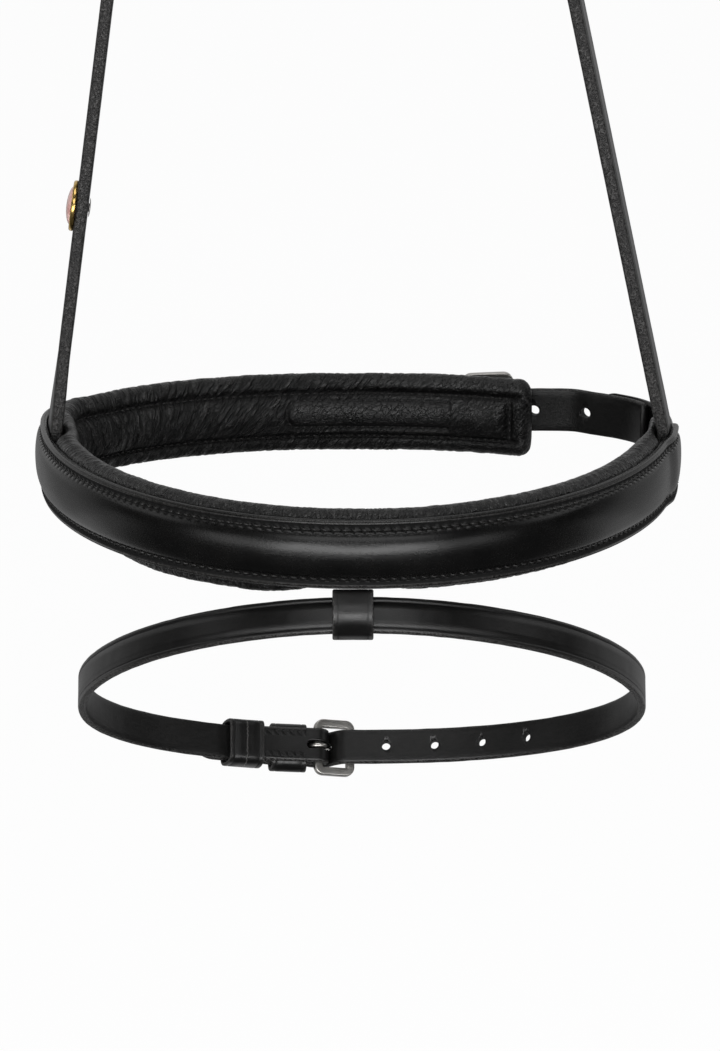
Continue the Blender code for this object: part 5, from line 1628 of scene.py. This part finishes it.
def turned(name, profile, material, node, wrap=False):
    """Round piece of the badge from a profile of (radius, n)."""
    turns = 2 * math.pi * np.arange(72) / 72
    rows = []
    for radius, n in profile:
        rows.append(by_badge(radius * np.cos(turns), n + 0 * turns, radius * np.sin(turns)))
    made = shell(name, np.stack(rows), material, wrap=wrap)
    dress(made, "headpiece", BADGE_SLOTS[node], node)


def badge():
    """Brass-rimmed round with a plain dome and its rivet, on the outer face of the left strap."""
    base, rim = HEAD_STRAP_THICK / 2 + LAYER_GAP, BADGE_RADIUS - BADGE_RIM_WIDTH
    soft, seat = BADGE_RIM_WIDTH / 2, base - LAYER_GAP * 0.7
    profile = [(BADGE_RADIUS - RIM_CHAMFER, seat), (BADGE_RADIUS, seat + RIM_CHAMFER)]
    profile += arc(rim + soft, base + BADGE_RIM_RISE - soft, soft * 0.98, range(0, 181, 20), soft)
    turned("badge_rim_ring", profile + [(rim, seat)], BRASS, "badge_rim", wrap=True)
    edge, low = rim - LAYER_GAP, base + BADGE_RIM_RISE / 2
    dome = arc(0.0, low, edge, range(6, 91, 7), base + BADGE_DOME_RISE - low)
    turned("badge_dome_cast", [(edge, base), (edge, low)] + dome, RESIN, "badge_dome")
    under = -LAYER_GAP - HEAD_STRAP_THICK / 2
    cap = arc(0.0, under, RIVET_CAP_RADIUS, range(0, 91, 15), -RIVET_CAP_RISE)
    profile = [(RIVET_RADIUS, base - RIVET_TOP_GAP), (RIVET_RADIUS, under)] + cap
    turned("badge_rivet_cap", profile[::-1], STEEL, "badge_rivet")


nose_band()
pad_lining()
lining_stitches()
chin_straps()
flash_strap()
cheek_straps()
flash_loop()
badge()
CHIN.pieces(CHIN.root_level - CHIN_CHAPE_THICK / 2)
FLASH_BUCKLE.pieces(FLASH_BUCKLE.inner_level - FLASH_CHAPE_THICK / 2)
HEAD_BUCKLE.pieces(HEAD_BUCKLE.inner_level - HEAD_CHAPE_THICK / 2)

filler = frame["nodes"]["crown_filler"]
filler.data.materials.clear()
filler.data.materials.append(FELT)


# Camera, light and floor

PHOTO_SIZE = (720, 1051)
VIEW_ELEVATION = math.radians(15)
VIEW_DISTANCE = 2.400
PIXELS_PER_RADIAN = 2778 * VIEW_DISTANCE
CENTRE_PIXEL = (357.25, 448.98)
FLOOR_Z = -1.05
WORLD_LEVEL = 0.55
DARK_LEVEL = 0.015

# Lamps: name, azimuth, elevation, distance, width and height, and power
SOFT_BOXES = (
    ("front_box", -2, 2, 1.6, (2.0, 0.52), 24),
    ("upper_box", 0, 36, 1.7, (1.8, 0.60), 7.5),
    ("left_wing", -50, 4, 1.6, (0.7, 0.5), 2.2),
    ("right_wing", 46, 4, 1.6, (0.7, 0.5), 1.6),
    ("left_high", -92, 28, 1.6, (1.0, 0.5), 1.6),
    ("right_high", 92, 28, 1.6, (1.0, 0.5), 1.8),
    ("top_box", 0, 82, 1.8, (1.6, 1.0), 10),
)


def make_camera():
    """Camera at the photograph's distance and height, turned so that the ring lies as in it."""
    data = bpy.data.cameras.new("camera")
    camera = add_object("camera", data)
    data.sensor_width = 36.0
    data.lens = PIXELS_PER_RADIAN * data.sensor_width / PHOTO_SIZE[1]
    data.clip_start, data.clip_end = 0.1, 20
    cosine, sine = math.cos(VIEW_ELEVATION), math.sin(VIEW_ELEVATION)
    camera.location = NOSE_CENTRE + VIEW_DISTANCE * np.array([0, -cosine, sine])
    down = math.atan((PHOTO_SIZE[1] / 2 - CENTRE_PIXEL[1]) / PIXELS_PER_RADIAN)
    side = math.atan((PHOTO_SIZE[0] / 2 - CENTRE_PIXEL[0]) / PIXELS_PER_RADIAN)
    camera.rotation_euler = (math.pi / 2 - VIEW_ELEVATION - down, 0, -side)
    bpy.context.scene.camera = camera


def soft_box(name, azimuth, elevation, distance, size, power):
    """Lamp that looks at the noseband. Azimuth 0 is in front and 90 on its right."""
    turn, rise = math.radians(azimuth), math.radians(elevation)
    level = math.cos(rise)
    towards = Vector((math.sin(turn) * level, -math.cos(turn) * level, math.sin(rise)))
    data = bpy.data.lights.new(name, "AREA")
    data.shape, data.size, data.size_y = "RECTANGLE", size[0], size[1]
    data.energy = power
    lamp = add_object(name, data)
    lamp.location = Vector(NOSE_CENTRE) + towards * distance
    lamp.rotation_euler = towards.to_track_quat("Z", "Y").to_euler()
    lamp.visible_camera = False


def make_floor():
    """Paper floor, white to the view but with the noseband's shadow."""
    finish = Finish("floor_paper", roughness=0.9)
    cloud = finish.noise(finish.local(), 0.6, 2)
    finish.shade(base_color=finish.mix(cloud, (0.84, 0.84, 0.84), (0.90, 0.90, 0.90)))
    plain = Value(finish, finish.shader.outputs[0])
    depth = finish.depth(finish.local())
    behind = depth.between(0.1, 0.8) * (1 - depth.between(0.6, 1.0) * 0.68)
    shown = finish.mix_shaders(0.95, plain, finish.white_to_view(plain, behind))
    finish.put(finish.tree.nodes["Material Output"].inputs[0], shown)
    reach = 6.0
    mesh = bpy.data.meshes.new("floor")
    mesh.from_pydata([(-reach, -reach, FLOOR_Z), (reach, -reach, FLOOR_Z),
                      (reach, reach, FLOOR_Z), (-reach, reach, FLOOR_Z)], [], [(0, 1, 2, 3)])
    mesh.materials.append(finish.material)
    add_object("floor", mesh)


def make_world():
    """Soft light from all round, white to the view."""
    world = bpy.data.worlds.new("studio")
    bpy.context.scene.world = world
    world.use_nodes = True
    nodes = Nodes(world.node_tree)
    light = {"Color": (0.97, 0.98, 1.0), "Strength": WORLD_LEVEL}
    plain = nodes.node("ShaderNodeBackground", None, light)
    towards = nodes.node("ShaderNodeTexCoord", output="Generated")
    shown = nodes.white_to_view(plain, nodes.depth(towards).between(0.2, 0.7) * 0.6)
    nodes.put(world.node_tree.nodes["World Output"].inputs[0], shown)


make_camera()
for lamp in SOFT_BOXES:
    soft_box(*lamp)
make_floor()
make_world()
bpy.context.scene.view_settings.view_transform = "Standard"
